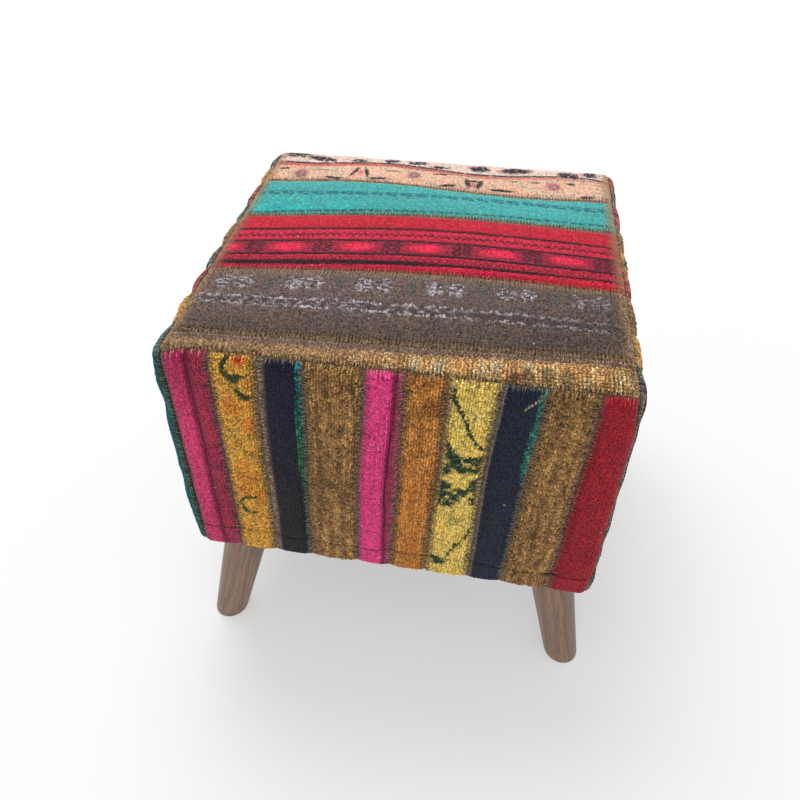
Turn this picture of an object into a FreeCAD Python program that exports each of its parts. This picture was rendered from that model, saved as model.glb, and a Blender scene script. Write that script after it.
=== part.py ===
# Patchwork pouf: a padded wooden box in a cover sewn from rug strips, on four splayed round legs.
# Millimetres. +Z is up, -Y is the front, and the origin is on the floor under the middle.
import FreeCAD
import Part
import math
import os
from collections import namedtuple
from FreeCAD import Vector

# Body over the cover
body_width = 400.0
body_depth = 400.0
body_height = 260.0
top_crown = 9.0
side_bow = 3.0
edge_radius = 12.0

# Rug strips: pile and backing together, drawn in at the seams and thin where the hem turns under
cover_thickness = 6.5
seam_dip = 2.5
seam_gap = 0.2
layer_gap = 0.35
hem_width = 8.0
hem_thickness = 3.0
hem_puff = 0.5
top_lean = 9.0
front_lean = -5.0

# Strips side by side as cut, from one edge of the panel to the other; they are stretched to fill it.
# Strips of a side that are cut from the same rug have the same name there.
top_strips = (("ivory", 82), ("teal", 74), ("red", 107), ("grey", 101), ("gold", 36))
front_strips = (("01_magenta", 45.5), ("02_gold", 37.5), ("03_navy", 38.5), ("04_olive", 46.5),
                ("05_pink", 33.5), ("06_rust", 35), ("07_yellow", 40), ("08_navy", 35),
                ("09_olive", 44), ("10_crimson", 38.5))
right_strips = (("navy", 46), ("gold", 46), ("olive", 50), ("crimson", 44), ("gold", 46),
                ("olive", 44), ("magenta", 50), ("navy", 38), ("crimson", 36))
back_strips = (("olive", 42), ("pink", 46), ("navy", 44), ("yellow", 40), ("crimson", 48),
               ("olive", 46), ("navy", 42), ("pink", 44), ("yellow", 48))
left_strips = (("navy", 42), ("gold", 44), ("crimson", 44), ("teal", 42), ("olive", 48),
               ("navy", 44), ("crimson", 46), ("gold", 44), ("teal", 46))

# Padding
seat_foam_thickness = 40.0
side_foam_thickness = 10.0

# Wooden frame with tenoned rails, its boards and panels
post_width = 38.0
rail_height = 30.0
rail_thickness = 20.0
tenon_thickness = 8.0
tenon_shoulder = 4.0
tenon_spacing = 2.0
tenon_fit = 0.1
panel_thickness = 4.0
seat_board_thickness = 12.0
base_board_thickness = 15.0

# Legs under the posts, each held by a hanger bolt in an insert nut
leg_height = 120.0
leg_splay = 18.0
leg_top_diameter = 46.5
leg_foot_diameter = 34.0
leg_foot_rounding = 3.0
bolt_diameter = 8.0
bolt_in_leg = 35.0
bolt_fit = 0.1
insert_diameter = 12.0
insert_cover = 2.0
dust_cover_thickness = 0.8
dust_cover_lap = 4.0

# Distances that follow: flats of the cover at its corners, and the levels from the floor up
half_width = body_width / 2 - side_bow
half_depth = body_depth / 2 - side_bow
inner_radius = edge_radius - cover_thickness
padding_radius = inner_radius - layer_gap
top_level = leg_height + body_height
top_arc_level = top_level - edge_radius
hem_arc_level = leg_height + inner_radius + hem_thickness
base_board_level = hem_arc_level - inner_radius + layer_gap
frame_level = base_board_level + base_board_thickness
seat_foam_level = top_level - cover_thickness - layer_gap - seat_foam_thickness
seat_board_level = seat_foam_level - seat_board_thickness
frame_inset = cover_thickness + layer_gap + side_foam_thickness + panel_thickness
frame_half_width = half_width - frame_inset
frame_half_depth = half_depth - frame_inset
tenon_length = post_width - (rail_thickness + tenon_thickness) / 2 - tenon_spacing
insert_length = base_board_thickness - insert_cover
dust_cover_level = leg_height - layer_gap
leg_top_level = dust_cover_level - dust_cover_thickness

# Steps of the lofts
top_steps = 6
side_steps = 3
hem_steps = 2
leg_sides = 32
corner_share = 0.3
flat_tolerance = 0.001
seat_foam_land = 0.1

X = Vector(1, 0, 0)
Y = Vector(0, 1, 0)
Z = Vector(0, 0, 1)
SIDES = ("front", "right", "back", "left")
CORNERS = {"front_left": (-1, -1), "front_right": (1, -1), "back_right": (1, 1), "back_left": (-1, 1)}

# A station is one cross-section of a strip: its place along the strip, how far the strip has turned over
# an edge, how far under the base it lies, and how much its crest and its seams are drawn in there
Station = namedtuple("Station", "along turn inset crest_drop puff")


def save(name, shape):
    shape.exportStep("parts/" + name + ".step")


def swell(share):
    """Height of the padding's bulge, from 1 in the middle to 0 at the edge, flat at both."""
    return max(0.0, 1.0 - share * share) ** 1.5


def polyline(points):
    return [Part.LineSegment(start, end).toShape() for start, end in zip(points, points[1:])]


def loft(wires):
    """Ruled solid through closed outlines, with each of its flat faces as a true plane."""
    faces = []
    for face in Part.makeLoft(wires, True, True).Faces:
        plane = face.findPlane(flat_tolerance)
        faces.append(Part.Face(plane, face.OuterWire) if plane else face)
    return Part.Solid(Part.Shell(faces))


def box(low, high):
    size = high - low
    return Part.makeBox(size.x, size.y, size.z, low)


class Panel:
    """One face of the body: directions across its strips, along them and outwards from it."""

    def __init__(self, across, along, outward, centre, half_across, half_along, rise, lean, strips):
        self.across = across
        self.along = along
        self.outward = outward
        self.centre = centre
        self.half_across = half_across
        self.half_along = half_along
        self.rise = rise
        self.lean = lean
        self.strips = strips

    def bulge(self, u, station):
        return self.rise * swell(u / self.half_across) * swell(station.along / self.half_along)

    def seams(self, station):
        """Places of the seams across the panel at a station, without its two outer edges."""
        total = sum(width for name, width in self.strips)
        full = 2 * (self.half_across + edge_radius)
        share = max(-1.0, min(1.0, station.along / self.half_along))
        places = []
        done = 0.0
        for name, width in self.strips[:-1]:
            done += width
            places.append(full * (done / total - 0.5) - self.lean * share)
        return places

    def point(self, station, u, radius):
        turn = math.radians(station.turn)
        normal = self.outward * math.cos(turn) + self.along * math.sin(turn)
        base = self.centre + self.along * station.along - self.outward * station.inset
        return base + self.across * u + normal * radius


def side_panel_frame(side):
    """Panel of one side of the body, its strips laid from left to right as seen from outside."""
    across, outward, half, reach = {
        "front": (X, -Y, half_width, half_depth),
        "right": (Y, X, half_depth, half_width),
        "back": (-X, Y, half_width, half_depth),
        "left": (-Y, -X, half_depth, half_width),
    }[side]
    strips = {"front": front_strips, "right": right_strips, "back": back_strips, "left": left_strips}[side]
    middle = (top_arc_level + hem_arc_level) / 2
    centre = outward * (reach - edge_radius) + Z * middle
    half_along = (top_arc_level - hem_arc_level) / 2
    lean = front_lean if side == "front" else 0.0
    return Panel(across, Z, outward, centre, half - edge_radius, half_along, side_bow, lean, strips)


def top_panel_frame():
    """Panel of the top, its strips laid from back to front and running from left to right."""
    centre = Z * top_arc_level
    return Panel(-Y, X, Z, centre, half_depth - edge_radius, half_width - edge_radius, top_crown, top_lean,
                 top_strips)


def straight_stations(panel, steps):
    places = [panel.half_along * (1 - 2 * i / steps) for i in range(steps + 1)]
    return [Station(place, 0.0, 0.0, 0.0, seam_dip) for place in places]


def sewn_end(panel, end):
    """Station at the sewn seam, half way over the top edge; end is 1 or -1."""
    seam_turn = 45.0 - math.degrees(seam_gap / 2 / edge_radius)
    return Station(end * panel.half_along, end * seam_turn, 0.0, seam_dip, seam_dip * corner_share)


def hem_end(panel):
    """Stations round the bottom edge and along the hem under the base."""
    stations = []
    for step in range(1, hem_steps + 1):
        share = step / hem_steps
        thinned = (cover_thickness - hem_thickness) * share
        stations.append(Station(-panel.half_along, -90.0 * share, 0.0, thinned,
                                seam_dip + (hem_puff - seam_dip) * share))
    last = stations[-1]
    stations.append(last._replace(inset=hem_width))
    return stations


def strip_section(panel, station, index):
    """Closed cross-section of one strip: puffed outside, seam faces at its sides, padding side inside."""
    seams = panel.seams(station)
    first = index == 0
    last = index == len(panel.strips) - 1
    corner = panel.half_across - station.inset
    split = corner - corner_share * edge_radius
    mitre = math.atan(math.cos(math.radians(station.turn))) - seam_gap / 2 / edge_radius
    mitre = max(mitre, 0.0)
    crest = edge_radius - station.crest_drop
    flat = corner - split
    middle_travel = (flat + edge_radius * mitre) / 2
    middle_flat = min(middle_travel, flat)
    middle_turn = (middle_travel - middle_flat) / edge_radius

    def outer(u, drop):
        return panel.point(station, u, crest - drop + panel.bulge(u, station))

    def inner(u):
        return panel.point(station, u, inner_radius + panel.bulge(u, station))

    def corner_end(side, radius):
        return panel.point(station, side * (corner + radius * math.sin(mitre)), radius * math.cos(mitre))

    def corner_middle(side, radius):
        u = split + middle_flat + radius * math.sin(middle_turn)
        return panel.point(station, side * u, radius * math.cos(middle_turn))

    left = -split if first else seams[index - 1] + seam_gap / 2
    right = split if last else seams[index] - seam_gap / 2
    middle_drop = station.puff / 4 if first or last else 0.0
    start = outer(left, 0.0 if first else station.puff)
    end = outer(right, 0.0 if last else station.puff)
    puffed = Part.Arc(start, outer((left + right) / 2, middle_drop), end).toShape()
    points = [end]
    if last:
        points += [corner_middle(1, crest - station.puff / 4), corner_end(1, crest - station.puff)]
        points += [corner_end(1, inner_radius), corner_middle(1, inner_radius)]
    points += [inner(right), inner(left)]
    if first:
        points += [corner_middle(-1, inner_radius), corner_end(-1, inner_radius)]
        points += [corner_end(-1, crest - station.puff), corner_middle(-1, crest - station.puff / 4)]
    return Part.Wire([puffed] + polyline(points + [start]))


def strip_solids(panel, stations):
    """Every strip of a panel as its own loft, by the strip's name."""
    solids = {}
    for index, (name, width) in enumerate(panel.strips):
        wires = [strip_section(panel, station, index) for station in stations]
        solids.setdefault(name, []).append(loft(wires))
    return solids


def padding_outline(panel, station, limit, radius):
    """Points of the padding close under a panel's strips, from -limit to limit across it."""
    marks = [-limit] + [u for u in panel.seams(station) if abs(u) < limit] + [limit]
    return [panel.point(station, u, radius + panel.bulge(u, station)) for u in marks]


def padding_corner(panel, station, side, radius):
    """Points of the padding round a corner of the panel, as the strips turn it there."""
    half_turn = math.pi / 4
    knee = side * (panel.half_across + radius * math.sin(half_turn))
    hip = side * (panel.half_across + radius)
    return [panel.point(station, knee, radius * math.cos(half_turn)), panel.point(station, hip, 0.0)]


def make_top_strips():
    panel = top_panel_frame()
    stations = [sewn_end(panel, 1)] + straight_stations(panel, top_steps) + [sewn_end(panel, -1)]
    for name, solids in strip_solids(panel, stations).items():
        save("top_strip_" + name, solids[0])


def make_side_strips():
    for side in SIDES:
        panel = side_panel_frame(side)
        stations = [sewn_end(panel, 1)] + straight_stations(panel, side_steps) + hem_end(panel)
        for name, solids in strip_solids(panel, stations).items():
            save(side + "_strip_" + name, solids[0] if len(solids) == 1 else Part.makeCompound(solids))


def seat_foam_section(panel, station, offset, radius):
    """Upright section of the seat foam: crowned top, rounded edges, upright sides and a flat underside."""
    top = padding_outline(panel, station, panel.half_across, radius)
    right = padding_corner(panel, station, 1, radius)
    left = padding_corner(panel, station, -1, radius)
    feet = [Vector(hip.x, hip.y, seat_foam_level) for hip in (right[-1], left[-1])]
    points = top + right + feet + list(reversed(left)) + top[:1]
    wire = Part.Wire(polyline(points))
    wire.translate(panel.along * offset)
    return wire


def make_seat_foam():
    """Block with crowned top; its rounded ends are two slopes down to a narrow land over the upright face."""
    panel = top_panel_frame()
    half_turn = math.sqrt(0.5)
    sections = []
    for end in (1, -1):
        edge = Station(end * panel.half_along, 0.0, 0.0, 0.0, 0.0)
        land = (1 - seat_foam_land * (1 - half_turn), seat_foam_land * half_turn)
        for out, up in ((half_turn, half_turn), land):
            offset = end * padding_radius * out
            sections.append((edge.along + offset, edge, offset, padding_radius * up))
    for station in straight_stations(panel, top_steps):
        sections.append((station.along, station, 0.0, padding_radius))
    sections.sort(key=lambda section: section[0])
    wires = [seat_foam_section(panel, station, offset, radius) for place, station, offset, radius in sections]
    save("seat_foam", loft(wires))


def make_side_foam():
    """Four sheets round the frame: the front and back ones turn the corners, the others fit between them."""
    inner_face = padding_radius - side_foam_thickness
    for side in SIDES:
        panel = side_panel_frame(side)
        wraps = side in ("front", "back")
        reach = panel.half_across + padding_radius
        limit = panel.half_across if wraps else reach - side_foam_thickness
        inner_reach = reach if wraps else limit
        top = seat_foam_level - panel.centre.z
        stations = [station for station in straight_stations(panel, side_steps) if station.along < top]
        stations.insert(0, stations[0]._replace(along=top))
        wires = []
        for station in stations:
            points = padding_outline(panel, station, limit, padding_radius)
            start = points[0]
            if wraps:
                points += padding_corner(panel, station, 1, padding_radius)
            points += [panel.point(station, u, inner_face) for u in (inner_reach, -inner_reach)]
            if wraps:
                points += reversed(padding_corner(panel, station, -1, padding_radius))
            wires.append(Part.Wire(polyline(points + [start])))
        save("side_foam_" + side, loft(wires))


def drill(start, direction, diameter, depth):
    return Part.makeCylinder(diameter / 2, depth, start, direction)


def cut_all(shape, tools):
    near = [tool for tool in tools if tool.BoundBox.intersect(shape.BoundBox)]
    return shape.cut(Part.makeCompound(near)) if near else shape


def rail_places():
    """Corner points and length axis of each rail between the posts, without its tenons."""
    levels = {"bottom": frame_level, "top": seat_board_level - rail_height}
    span_x = frame_half_width - post_width
    span_y = frame_half_depth - post_width
    rails = {}
    for row, level in levels.items():
        low, high = level, level + rail_height
        rails[row + "_rail_front"] = (Vector(-span_x, -frame_half_depth, low),
                                      Vector(span_x, -frame_half_depth + rail_thickness, high), X)
        rails[row + "_rail_back"] = (Vector(-span_x, frame_half_depth - rail_thickness, low),
                                     Vector(span_x, frame_half_depth, high), X)
        rails[row + "_rail_left"] = (Vector(-frame_half_width, -span_y, low),
                                     Vector(-frame_half_width + rail_thickness, span_y, high), Y)
        rails[row + "_rail_right"] = (Vector(frame_half_width - rail_thickness, -span_y, low),
                                      Vector(frame_half_width, span_y, high), Y)
    return rails


def tenon_bar(low, high, axis, room):
    """Bar through a rail that stands out at both ends as its tenons, with room all round for a mortise."""
    sideways = Vector(axis.y, axis.x, 0)
    thin = (rail_thickness - tenon_thickness) / 2 - room
    inset = sideways * thin + Z * (tenon_shoulder - room) - axis * (tenon_length + room)
    return box(low + inset, high - inset)


def make_frame():
    mortises = []
    for name, (low, high, axis) in rail_places().items():
        save(name, box(low, high).fuse(tenon_bar(low, high, axis, 0.0)).removeSplitter())
        mortises.append(tenon_bar(low, high, axis, tenon_fit))
    for corner, (sx, sy) in CORNERS.items():
        middle = Vector(sx * (frame_half_width - post_width / 2), sy * (frame_half_depth - post_width / 2), 0)
        half = Vector(post_width / 2, post_width / 2, 0)
        post = box(middle - half + Z * frame_level, middle + half + Z * seat_board_level)
        save("corner_post_" + corner, cut_all(post, mortises))


def make_boards():
    corner = Vector(frame_half_width, frame_half_depth, 0)
    base = box(Z * base_board_level - corner, Z * frame_level + corner)
    sockets = [insert_seat(sx, sy, bolt_fit) for sx, sy in CORNERS.values()]
    save("base_board", cut_all(base, sockets))
    save("seat_board", box(Z * seat_board_level - corner, Z * seat_foam_level + corner))


def make_side_panels():
    """Thin panels on the frame: the front and back ones lap the edges of the other two."""
    wide = frame_half_width + panel_thickness
    deep = frame_half_depth + panel_thickness
    rise = Z * (seat_foam_level - base_board_level)
    sheets = {
        "front": (Vector(-wide, -deep, base_board_level), Vector(wide, -frame_half_depth, base_board_level)),
        "back": (Vector(-wide, frame_half_depth, base_board_level), Vector(wide, deep, base_board_level)),
        "left": (Vector(-wide, -frame_half_depth, base_board_level),
                 Vector(-frame_half_width, frame_half_depth, base_board_level)),
        "right": (Vector(frame_half_width, -frame_half_depth, base_board_level),
                  Vector(wide, frame_half_depth, base_board_level)),
    }
    for side, (low, high) in sheets.items():
        save("side_panel_" + side, box(low, high + rise))


def leg_top(sx, sy):
    """Middle of a leg's top, straight under its post."""
    inset = post_width / 2
    return Vector(sx * (frame_half_width - inset), sy * (frame_half_depth - inset), leg_top_level)


def insert_seat(sx, sy, room):
    """Insert nut let into the underside of the base board over a leg, with room for its socket."""
    top = leg_top(sx, sy)
    start = Vector(top.x, top.y, base_board_level)
    return drill(start, Z, insert_diameter + 2 * room, insert_length + room)


def bolt_holes():
    """Upright holes for the hanger bolts, from inside each leg to the top of its insert nut."""
    low = -Z * (bolt_in_leg + bolt_fit)
    depth = bolt_in_leg + bolt_fit + base_board_level - leg_top_level + insert_length
    bore = bolt_diameter + 2 * bolt_fit
    return [drill(leg_top(sx, sy) + low, Z, bore, depth) for sx, sy in CORNERS.values()]


def make_dust_cover():
    wide = half_width - edge_radius - hem_width + dust_cover_lap
    deep = half_depth - edge_radius - hem_width + dust_cover_lap
    sheet = box(Vector(-wide, -deep, leg_top_level), Vector(wide, deep, dust_cover_level))
    save("dust_cover", cut_all(sheet, bolt_holes()))


def leg_ring(sx, sy, level, drawn_in):
    """Level outline of a leaning round leg: an ellipse of short sides, long in the way that the leg leans."""
    tilt = math.radians(leg_splay)
    outward = Vector(sx, sy, 0).normalize()
    sideways = Vector(-sy, sx, 0).normalize()
    down = leg_top_level - level
    centre = leg_top(sx, sy) + outward * (down * math.tan(tilt)) - Z * down
    taper = (leg_top_diameter - leg_foot_diameter) * down / leg_top_level
    radius = (leg_top_diameter - taper) / 2 - drawn_in
    points = []
    for side in range(leg_sides + 1):
        angle = 2 * math.pi * (side % leg_sides) / leg_sides
        points.append(centre + outward * (radius / math.cos(tilt) * math.cos(angle))
                      + sideways * (radius * math.sin(angle)))
    return Part.Wire(polyline(points))


def make_leg(sx, sy):
    """Leaning turned leg, cut level under the body and rounded round its level foot."""
    half_way = leg_foot_rounding * (1 - math.sqrt(0.5))
    levels = ((0.0, leg_foot_rounding), (half_way, half_way), (leg_foot_rounding, 0.0), (leg_top_level, 0.0))
    return loft([leg_ring(sx, sy, level, drawn_in) for level, drawn_in in levels])


def make_legs():
    bolts = []
    inserts = []
    bolt_length = bolt_in_leg + base_board_level - leg_top_level + insert_length
    for corner, (sx, sy) in CORNERS.items():
        leg = make_leg(sx, sy)
        save("leg_" + corner, cut_all(leg, bolt_holes()))
        bolts.append(drill(leg_top(sx, sy) - Z * bolt_in_leg, Z, bolt_diameter, bolt_length))
        inserts.append(cut_all(insert_seat(sx, sy, 0.0), bolt_holes()))
        foot = [face for face in leg.Faces if face.BoundBox.ZMax < layer_gap]
        print("foot", corner, [round(value, 3) for value in foot[0].CenterOfMass])
    save("hanger_bolts", Part.makeCompound(bolts))
    save("insert_nuts", Part.makeCompound(inserts))


os.makedirs("parts", exist_ok=True)
make_top_strips()
make_side_strips()
make_seat_foam()
make_side_foam()
make_frame()
make_boards()
make_side_panels()
make_dust_cover()
make_legs()
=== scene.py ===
# Looks of a patchwork pouf: rug strips sewn over a padded box, on four splayed round legs.
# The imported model's frame is in metres; sizes below are in millimetres, as in the part's source.
import math
from collections import namedtuple
import bpy
import numpy as np
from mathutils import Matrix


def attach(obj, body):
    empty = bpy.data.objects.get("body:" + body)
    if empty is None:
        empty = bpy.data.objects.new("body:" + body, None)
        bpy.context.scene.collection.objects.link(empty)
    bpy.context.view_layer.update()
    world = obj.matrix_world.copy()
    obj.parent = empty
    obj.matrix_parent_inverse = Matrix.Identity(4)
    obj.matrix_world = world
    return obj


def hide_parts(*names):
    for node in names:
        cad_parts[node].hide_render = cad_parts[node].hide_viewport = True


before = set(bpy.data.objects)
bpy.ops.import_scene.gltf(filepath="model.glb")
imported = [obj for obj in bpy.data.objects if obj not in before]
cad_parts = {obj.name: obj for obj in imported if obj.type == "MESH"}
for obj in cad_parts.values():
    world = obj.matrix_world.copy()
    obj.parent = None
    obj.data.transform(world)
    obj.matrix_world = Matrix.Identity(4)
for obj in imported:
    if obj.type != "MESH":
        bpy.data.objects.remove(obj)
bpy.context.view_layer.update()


# Timber frame: planed softwood posts and rails with glued tenons, plywood seat and base boards, and
# hardboard panels glued round the sides. All of it is shut in by the padding and the cover.
class Strand:
    """One value running through a finish's nodes: sums on it add Math nodes, node() adds any other kind."""

    def __init__(self, tree, socket=None):
        self.tree = tree
        self.socket = socket

    def node(self, kind, inputs, output=0, stops=(), **settings):
        """A new node, its settings and a ramp's stops first, then its sockets; gives one of its outputs."""
        made = self.tree.nodes.new("ShaderNode" + kind)
        for name, value in settings.items():
            setattr(made, name, value)
        for index, (place, colour) in enumerate(stops):
            points = made.color_ramp.elements
            point = points[index] if index < 2 else points.new(place)
            point.position = place
            point.color = colour
        for place, value in inputs.items():
            if isinstance(value, Strand):
                self.tree.links.new(value.socket, made.inputs[place])
            else:
                made.inputs[place].default_value = value
        return Strand(self.tree, made.outputs[output]) if made.outputs else None

    def maths(self, operation, *values):
        return self.node("Math", dict(enumerate(values)), operation=operation)

    def __add__(self, other):
        return self.maths("ADD", self, other)

    def __radd__(self, other):
        return self.maths("ADD", other, self)

    def __sub__(self, other):
        return self.maths("SUBTRACT", self, other)

    def __rsub__(self, other):
        return self.maths("SUBTRACT", other, self)

    def __mul__(self, other):
        return self.maths("MULTIPLY", self, other)

    def __rmul__(self, other):
        return self.maths("MULTIPLY", other, self)

    def __abs__(self):
        return self.maths("ABSOLUTE", self)

    def fade(self, inner, outer):
        """1 up to inner, falling to 0 at outer; outer may be the smaller of the two."""
        return self.node("MapRange", {0: self, 1: inner, 2: outer, 3: 1.0, 4: 0.0})

    def pick(self, ground, figure):
        """Colour of the ground where this mask is 0 and of the figure where it is 1."""
        return self.node("Mix", {0: self, 6: ground, 7: figure}, 2, data_type="RGBA")

    def noise(self, scale, detail=2.0, output=0, **sockets):
        """Noise at the places that this strand holds; output 1 has three different values."""
        return self.node("TexNoise", {"Vector": self, "Scale": scale, "Detail": detail, **sockets}, output)

    def stretched(self, factors):
        return self.node("VectorMath", {0: self, 1: factors}, operation="MULTIPLY")

    def bump(self, strength, distance):
        return self.node("Bump", {"Height": self, "Strength": strength, "Distance": distance})

    def parts(self):
        split = self.node("SeparateXYZ", {0: self}).socket.node
        return [Strand(self.tree, output) for output in split.outputs]


def dye(red, green, blue):
    """Colour as seen on screen, from 0 to 255, as the linear colour that sockets hold."""
    shares = [value / 255 for value in (red, green, blue)]
    return tuple([s / 12.92 if s <= 0.04045 else ((s + 0.055) / 1.055) ** 2.4 for s in shares] + [1.0])


def new_finish(name):
    finish = bpy.data.materials.new(name)
    finish.use_nodes = True
    finish.node_tree.nodes.clear()
    return finish, Strand(finish.node_tree)


def place_in(start):
    """Places in the frame, in metres."""
    return start.node("TexCoord", {}, 3)


def surface_of(start, **sockets):
    """Ends a finish in one Principled shader with these sockets, named with underscores for spaces."""
    inputs = {name.replace("_", " "): value for name, value in sockets.items()}
    shader = start.node("BsdfPrincipled", inputs)
    start.node("OutputMaterial", {0: shader})


def bare_wood(name, pale, dark, stretch):
    """Unfinished wood with its grain drawn out along one axis of the frame."""
    finish, start = new_finish(name)
    drawn = place_in(start).stretched(stretch)
    grain = drawn.noise(40.0, 5.0, Distortion=0.4)
    fine = drawn.noise(260.0)
    colour = (grain * 0.75 + fine * 0.25).fade(0.3, 0.7).pick(dark, pale)
    lift = fine.bump(0.2, 0.0004)
    surface_of(start, Base_Color=colour, Roughness=grain * 0.2 + 0.55, Normal=lift)
    return finish


def wear(node, finish):
    """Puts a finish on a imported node, whose shape stays."""
    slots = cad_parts[node].data.materials
    slots.clear()
    slots.append(finish)


upright_pine = bare_wood("upright_pine", dye(222, 188, 140), dye(190, 148, 98), (1.0, 1.0, 0.06))
level_pine = bare_wood("level_pine", dye(224, 190, 142), dye(188, 146, 96), (0.12, 0.12, 1.0))
plywood = bare_wood("plywood", dye(214, 180, 132), dye(180, 140, 92), (0.08, 1.0, 6.0))
hardboard = bare_wood("hardboard", dye(132, 98, 68), dye(104, 74, 50), (1.0, 1.0, 1.0))
corners = {"front_left": (-1, -1), "front_right": (1, -1), "back_right": (1, 1), "back_left": (-1, 1)}
sides = ("front", "right", "back", "left")
for corner in corners:
    wear("corner_post_" + corner, upright_pine)
for side in sides:
    wear("top_rail_" + side, level_pine)
    wear("bottom_rail_" + side, level_pine)
    wear("side_panel_" + side, hardboard)
wear("seat_board", plywood)
wear("base_board", plywood)

# Padding: a thick block of polyurethane foam on the seat board and thinner sheets glued round the sides.
# It is cut foam, cream coloured, with open cells.
foam, start = new_finish("cut_foam")
cells = start.node("TexVoronoi", {"Vector": place_in(start), "Scale": 700.0})
pores = cells.bump(0.5, 0.001)
surface_of(start, Base_Color=cells.fade(0.1, 0.7).pick(dye(238, 230, 204), dye(206, 194, 158)),
           Roughness=cells * 0.1 + 0.85, Normal=pores)
wear("seat_foam", foam)
for side in sides:
    wear("side_foam_" + side, foam)

# Hanger bolts and insert nuts: zinc plated steel, screwed into the legs and the base board out of sight.
# The plating is bright with a faint yellow cast and fine scratches.
zinc, start = new_finish("zinc_plate")
brushed = place_in(start).noise(900.0, 3.0)
surface_of(start, Base_Color=brushed.pick(dye(176, 178, 180), dye(202, 202, 196)), Metallic=1.0,
           Roughness=brushed * 0.3 + 0.2)
wear("hanger_bolts", zinc)
wear("insert_nuts", zinc)

# Legs: turned hardwood, stained brown and satin lacquered. They lean out to the corners, are cut level at
# both ends, and have a small round worked on the edge of the foot.
leg_top_level = 118.85
leg_top_place = 157.15
leg_splay = math.radians(18.0)
leg_top_radius = 23.25
leg_foot_radius = 17.0
foot_round = 3.0
foot_steps = 6
leg_sides = 72
leg_rings = 26


def build(name, vertices, quads, triangles=(), uv=None, **values):
    """Mesh object from arrays in millimetres, with a bake map and named vector values at its vertices."""
    mesh = bpy.data.meshes.new(name)
    quads = np.asarray(quads, dtype=np.int32).reshape(-1, 4)
    triangles = np.asarray(triangles, dtype=np.int32).reshape(-1, 3)
    corners = np.concatenate([quads.ravel(), triangles.ravel()])
    sizes = np.concatenate([np.full(len(quads), 4), np.full(len(triangles), 3)])
    starts = np.concatenate([[0], np.cumsum(sizes)[:-1]]).astype(np.int32)
    mesh.vertices.add(len(vertices))
    mesh.vertices.foreach_set("co", (np.asarray(vertices) * 0.001).astype(np.float32).ravel())
    mesh.loops.add(len(corners))
    mesh.loops.foreach_set("vertex_index", corners.astype(np.int32))
    mesh.polygons.add(len(sizes))
    mesh.polygons.foreach_set("loop_start", starts)
    mesh.polygons.foreach_set("use_smooth", np.ones(len(sizes), dtype=bool))
    if uv is not None:
        layer = mesh.uv_layers.new(name="OFBake")
        layer.data.foreach_set("uv", np.asarray(uv, dtype=np.float32)[corners].ravel())
    for value_name, data in values.items():
        layer = mesh.attributes.new(value_name, "FLOAT_VECTOR", "POINT")
        layer.data.foreach_set("vector", np.asarray(data, dtype=np.float32).ravel())
    mesh.update(calc_edges=True)
    piece = bpy.data.objects.new(name, mesh)
    bpy.context.scene.collection.objects.link(piece)
    return piece


def grid_quads(rows, columns, closed=False):
    """Faces between neighbouring rows of vertices; a closed row joins its end to its start."""
    i, j = np.meshgrid(np.arange(rows - 1), np.arange(columns if closed else columns - 1), indexing="ij")
    after = (j + 1) % columns
    row, above = i * columns, (i + 1) * columns
    return np.stack([row + j, row + after, above + after, above + j], axis=-1).reshape(-1, 4)


def dress(piece, finish, slot, node=None):
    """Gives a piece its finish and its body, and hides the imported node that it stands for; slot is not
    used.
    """
    piece.data.materials.append(finish)
    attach(piece, "root")
    if node:
        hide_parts(node)


def leg_piece(corner, side_x, side_y):
    """One leg as level rings from the foot up, closed at both ends, with its places along the grain."""
    turn = np.linspace(0, np.pi / 2, foot_steps)[1:]
    shaft = np.linspace(foot_round, leg_top_level, leg_rings)[1:]
    levels = np.concatenate([[0.0], foot_round * (1 - np.cos(turn)), shaft])
    drawn_in = np.concatenate([[foot_round], foot_round * (1 - np.sin(turn)), np.zeros(leg_rings - 1)])
    down = leg_top_level - levels
    radius = leg_top_radius - (leg_top_radius - leg_foot_radius) * down / leg_top_level - drawn_in
    around = np.arange(leg_sides) * 2 * np.pi / leg_sides
    corner_way = np.array([side_x, side_y, 0.0])
    outward = corner_way / math.sqrt(2)
    sideways = np.array([-side_y, side_x, 0.0]) / math.sqrt(2)
    middles = corner_way * leg_top_place + down[:, None] * math.tan(leg_splay) * outward
    middles[:, 2] = levels
    rim_out = radius[:, None] / math.cos(leg_splay) * np.cos(around)
    rim_side = radius[:, None] * np.sin(around)
    points = middles[:, None] + rim_out[..., None] * outward + rim_side[..., None] * sideways
    up_grain = np.broadcast_to((levels / math.cos(leg_splay))[:, None], rim_out.shape)
    grain = np.stack([rim_out * math.cos(leg_splay), rim_side, up_grain], axis=-1)
    rows = len(levels)
    centre = rows * leg_sides
    ring = np.arange(leg_sides)
    foot = np.stack([np.full(leg_sides, centre), np.roll(ring, -1), ring], axis=1)
    top = np.stack([np.full(leg_sides, centre + 1), ring, np.roll(ring, -1)], axis=1)
    top[:, 1:] += (rows - 1) * leg_sides
    ends = np.stack([middles[0], middles[-1]])
    end_grain = np.array([[0.0, 0.0, 0.0], [0.0, 0.0, leg_top_level]])
    return build("turned_leg_" + corner, np.concatenate([points.reshape(-1, 3), ends]),
                 grid_quads(rows, leg_sides, closed=True), np.concatenate([foot, top]),
                 grain=np.concatenate([grain.reshape(-1, 3), end_grain]))


def stored(start, name):
    """The named vector values that a mesh holds at its vertices."""
    return start.node("Attribute", {}, 1, attribute_name=name)


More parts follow.
